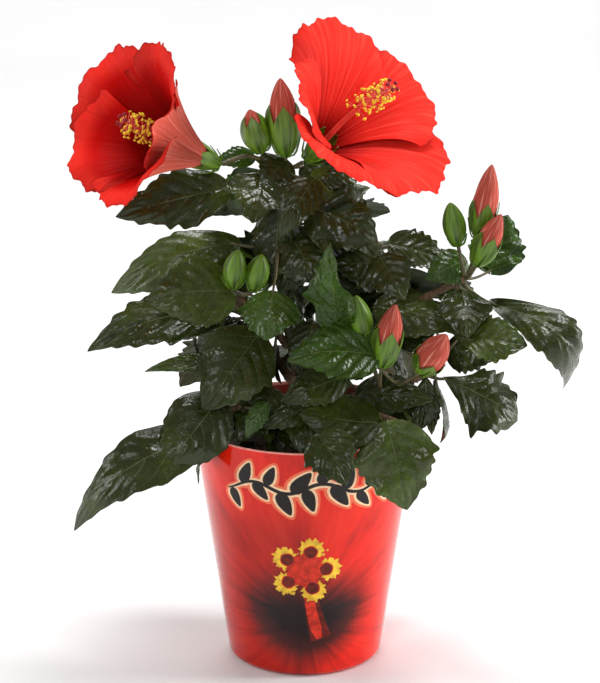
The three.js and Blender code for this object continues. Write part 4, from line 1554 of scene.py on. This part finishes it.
def sprig_rise(place):
    """How far the sprig's stem rises and falls along its length."""
    return (3.4 * np.sin(place * 7.5) - 2.5 * place**2) * MM


def print_sprig(face, sizes):
    """A generic leafy sprig printed in black with a cream edge, in a band below the rim."""
    base = pot_outline()[0] - sizes.sprig_height
    half = sizes.sprig_half_width
    t = np.linspace(-1, 1, 90)
    taper = 1 - 0.6 * np.abs(t) ** 3
    around = full_turn(48)
    for grow, lift, finish in SPRIG_LAYERS:
        face.ribbon(t * half, base + sprig_rise(t), (2.4 + 2 * grow) * MM * taper, lift, finish)
        for k, place in enumerate(np.linspace(-0.95, 0.95, SPRIG_LEAVES)):
            hand = 1 if k % 2 else -1
            angle = hand * (1.05 + 0.2 * math.sin(k * 2.3))
            span = (17.0 + 2.0 * math.sin(k * 1.7)) * MM * (1 - 0.22 * abs(place))
            along = (span / 2 + grow * MM) * np.cos(around) + span / 2 + 0.6 * MM
            across = (span * 0.24 + grow * MM) * np.sin(around) * (1 - 0.4 * np.cos(around))
            x = place * half + along * math.cos(angle) - across * math.sin(angle)
            z = base + sprig_rise(place) + along * math.sin(angle) + across * math.cos(angle)
            face.shape(x, z, lift + 0.01, finish)


class HIBISCUS_OT_pot_print(Operator):
    """The printed flower and sprig on the front of the pot, and again on its back."""

    bl_idname = "hibiscus.pot_print"
    bl_label = "Pot print"

    def execute(self, context):
        sizes = context.scene.hibiscus_pot
        sheaf = Sheaf("ink_black", "ink_cream", "ink_peach", "ink_yellow", "ink_red", "ink_maroon")
        rng = random.Random(PRINT_SEED)
        for turn in (0.0, math.pi):
            face = WallPrint(sheaf, turn)
            print_flower(face, sizes, rng)
            print_sprig(face, sizes)
        sheaf.piece("pot_print", "printed_pot")
        return {"FINISHED"}


# The compost: rings and sides of its surface, how far it lies below the solid's top and dips further at the
# wall, the waves that roughen it, and the loose crumbs on it.
SOIL_RINGS = 34
SOIL_SIDES = 96
SOIL_DROP = 2.2 * MM
SOIL_DIP = 1.2 * MM
SOIL_WAVES = 14
CRUMBS = 420
CRUMB_DROP = 2.6 * MM
CRUMB_DIP = 1.0 * MM


class HIBISCUS_OT_soil(Operator):
    """Moist crumbly compost inside the pot."""

    bl_idname = "hibiscus.soil"
    bl_label = "Soil"

    def execute(self, context):
        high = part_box("soil")[1]
        reach = high.x - 0.2 * MM
        sheaf = Sheaf("soil", "crumb")
        rng = np.random.default_rng(SOIL_SEED)
        radius = np.linspace(0.001, 1, SOIL_RINGS)[:, None] * reach
        angle = full_turn(SOIL_SIDES)
        waves = zip(rng.uniform(120, 900, SOIL_WAVES), rng.uniform(0, 6.3, SOIL_WAVES))
        bumps = sum(np.sin(radius * pitch * np.cos(angle - way)) for pitch, way in waves)
        height = high.z - SOIL_DROP + bumps * 0.28 * MM - SOIL_DIP * (radius / reach) ** 2
        points = np.stack([radius * np.cos(angle), radius * np.sin(angle), height], -1)
        sheaf.add(points, grid_quads(SOIL_RINGS, SOIL_SIDES, True), "soil")
        for _ in range(CRUMBS):
            way, out = rng.uniform(0, 2 * math.pi), reach * 0.95 * math.sqrt(rng.uniform(0.01, 1))
            low = high.z - CRUMB_DROP - CRUMB_DIP * (out / reach) ** 2
            place = (out * math.cos(way), out * math.sin(way), low)
            size = rng.uniform(0.7, 2.0) * MM
            sheaf.ball(place, (size, size * rng.uniform(0.5, 0.9)), "crumb", rng.normal(size=3), 4, 5)
        sheaf.piece("compost", "soil", ["soil"])
        return {"FINISHED"}


# ---------------------------------------------------------------------------------------------- stage


FLOOR_REACH = 6.0
WORLD_STRENGTH = 0.3
PLANT_MIDDLE = (0, 0, 0.22)

# Lights: name, place, what it points at, width and height (m) and power (W).
LIGHTS = (
    ("overhead", (0.15, 0.15, 1.55), PLANT_MIDDLE, (0.4, 0.4), 12),
    ("front_fill", (-0.5, -2.4, 1.5), PLANT_MIDDLE, (0.8, 0.8), 14),
    ("left_strip", (-1.40, -0.02, 0.55), PLANT_MIDDLE, (0.45, 1.3), 9),
    ("right_strip", (1.40, -0.02, 0.55), PLANT_MIDDLE, (0.45, 1.3), 22),
    ("back_wash", (0, 2.4, 2.2), (0, 1.6, 0), (2.0, 1.0), 40),
)
CAMERA_PLACE = (-0.0031, -2.2696, 0.9366)
CAMERA_TILT = math.radians(72.1)
CAMERA_LENS = 204.2
CAMERA_SENSOR = 36


def area_light(name, place, target, size, power):
    """A rectangular light at a place, turned to its target."""
    lamp = bpy.data.lights.new(name, "AREA")
    lamp.shape = "RECTANGLE"
    lamp.size, lamp.size_y = size
    lamp.energy = power
    made = stand(name, lamp)
    made.location = place
    made.rotation_euler = (Vector(target) - Vector(place)).to_track_quat("-Z", "Y").to_euler()


class HIBISCUS_OT_stage(Operator):
    """Pale floor, soft studio light and the camera."""

    bl_idname = "hibiscus.stage"
    bl_label = "Stage"

    def execute(self, context):
        scene = context.scene
        corners = [(x * FLOOR_REACH, y * FLOOR_REACH, 0) for x, y in ((-1, -1), (1, -1), (1, 1), (-1, 1))]
        floor_mesh = bpy.data.meshes.new("floor")
        floor_mesh.from_pydata(corners, [], [(0, 1, 2, 3)])
        paint = Finish("floor_paint")
        paint.plug(paint.ramp(paint.noise(3, 2), [(0.3, 0.86), (0.7, 0.9)]), "Base Color")
        floor_mesh.materials.append(paint.set(roughness=0.9).material)
        stand("floor", floor_mesh)
        scene.world = bpy.data.worlds.new("studio")
        scene.world.use_nodes = True
        sky = scene.world.node_tree.nodes["Background"].inputs
        sky["Color"].default_value = (1, 1, 1, 1)
        sky["Strength"].default_value = WORLD_STRENGTH
        scene.view_settings.view_transform = "Standard"
        for light in LIGHTS:
            area_light(*light)
        camera = stand("camera", bpy.data.cameras.new("camera"))
        camera.data.lens = CAMERA_LENS
        camera.data.sensor_width = CAMERA_SENSOR
        camera.data.clip_start = 0.1
        camera.location = CAMERA_PLACE
        camera.rotation_euler = (CAMERA_TILT, 0, 0)
        scene.camera = camera
        return {"FINISHED"}


# ---------------------------------------------------------------------------------------------- add-on


class HIBISCUS_PT_panel(Panel):
    """Lists the operators that build the plant, its pot and the stage."""

    bl_label = "Hibiscus"
    bl_idname = "HIBISCUS_PT_panel"
    bl_space_type = "VIEW_3D"
    bl_region_type = "UI"
    bl_category = "Hibiscus"

    def draw(self, context):
        for operator in OPERATORS:
            self.layout.operator(operator.bl_idname)
        for name in SETTINGS:
            box = self.layout.box()
            group = getattr(context.scene, name)
            for key in group.__annotations__:
                box.prop(group, key)


OPERATORS = (
    HIBISCUS_OT_stage,
    HIBISCUS_OT_pot,
    HIBISCUS_OT_pot_print,
    HIBISCUS_OT_soil,
    HIBISCUS_OT_stems,
    HIBISCUS_OT_leaves,
    HIBISCUS_OT_small_leaves,
    HIBISCUS_OT_inner_growth,
    HIBISCUS_OT_blooms,
    HIBISCUS_OT_buds,
)
SETTINGS = {
    "hibiscus_leaf": LeafSizes,
    "hibiscus_bloom": BloomSizes,
    "hibiscus_pot": PotSizes,
    "hibiscus_colours": Colours,
}
CLASSES = (*SETTINGS.values(), *OPERATORS, HIBISCUS_PT_panel)


def register():
    """Adds the classes and the settings."""
    for cls in CLASSES:
        bpy.utils.register_class(cls)
    for name, cls in SETTINGS.items():
        setattr(bpy.types.Scene, name, PointerProperty(type=cls))


def unregister():
    """Takes them away again."""
    for name in SETTINGS:
        delattr(bpy.types.Scene, name)
    for cls in reversed(CLASSES):
        bpy.utils.unregister_class(cls)


def main():
    """Builds the stage, the pot and the plant."""
    register()
    make_finishes(bpy.context.scene.hibiscus_colours)
    for operator in OPERATORS:
        group, name = operator.bl_idname.split(".")
        getattr(getattr(bpy.ops, group), name)()


if __name__ == "__main__":
    main()
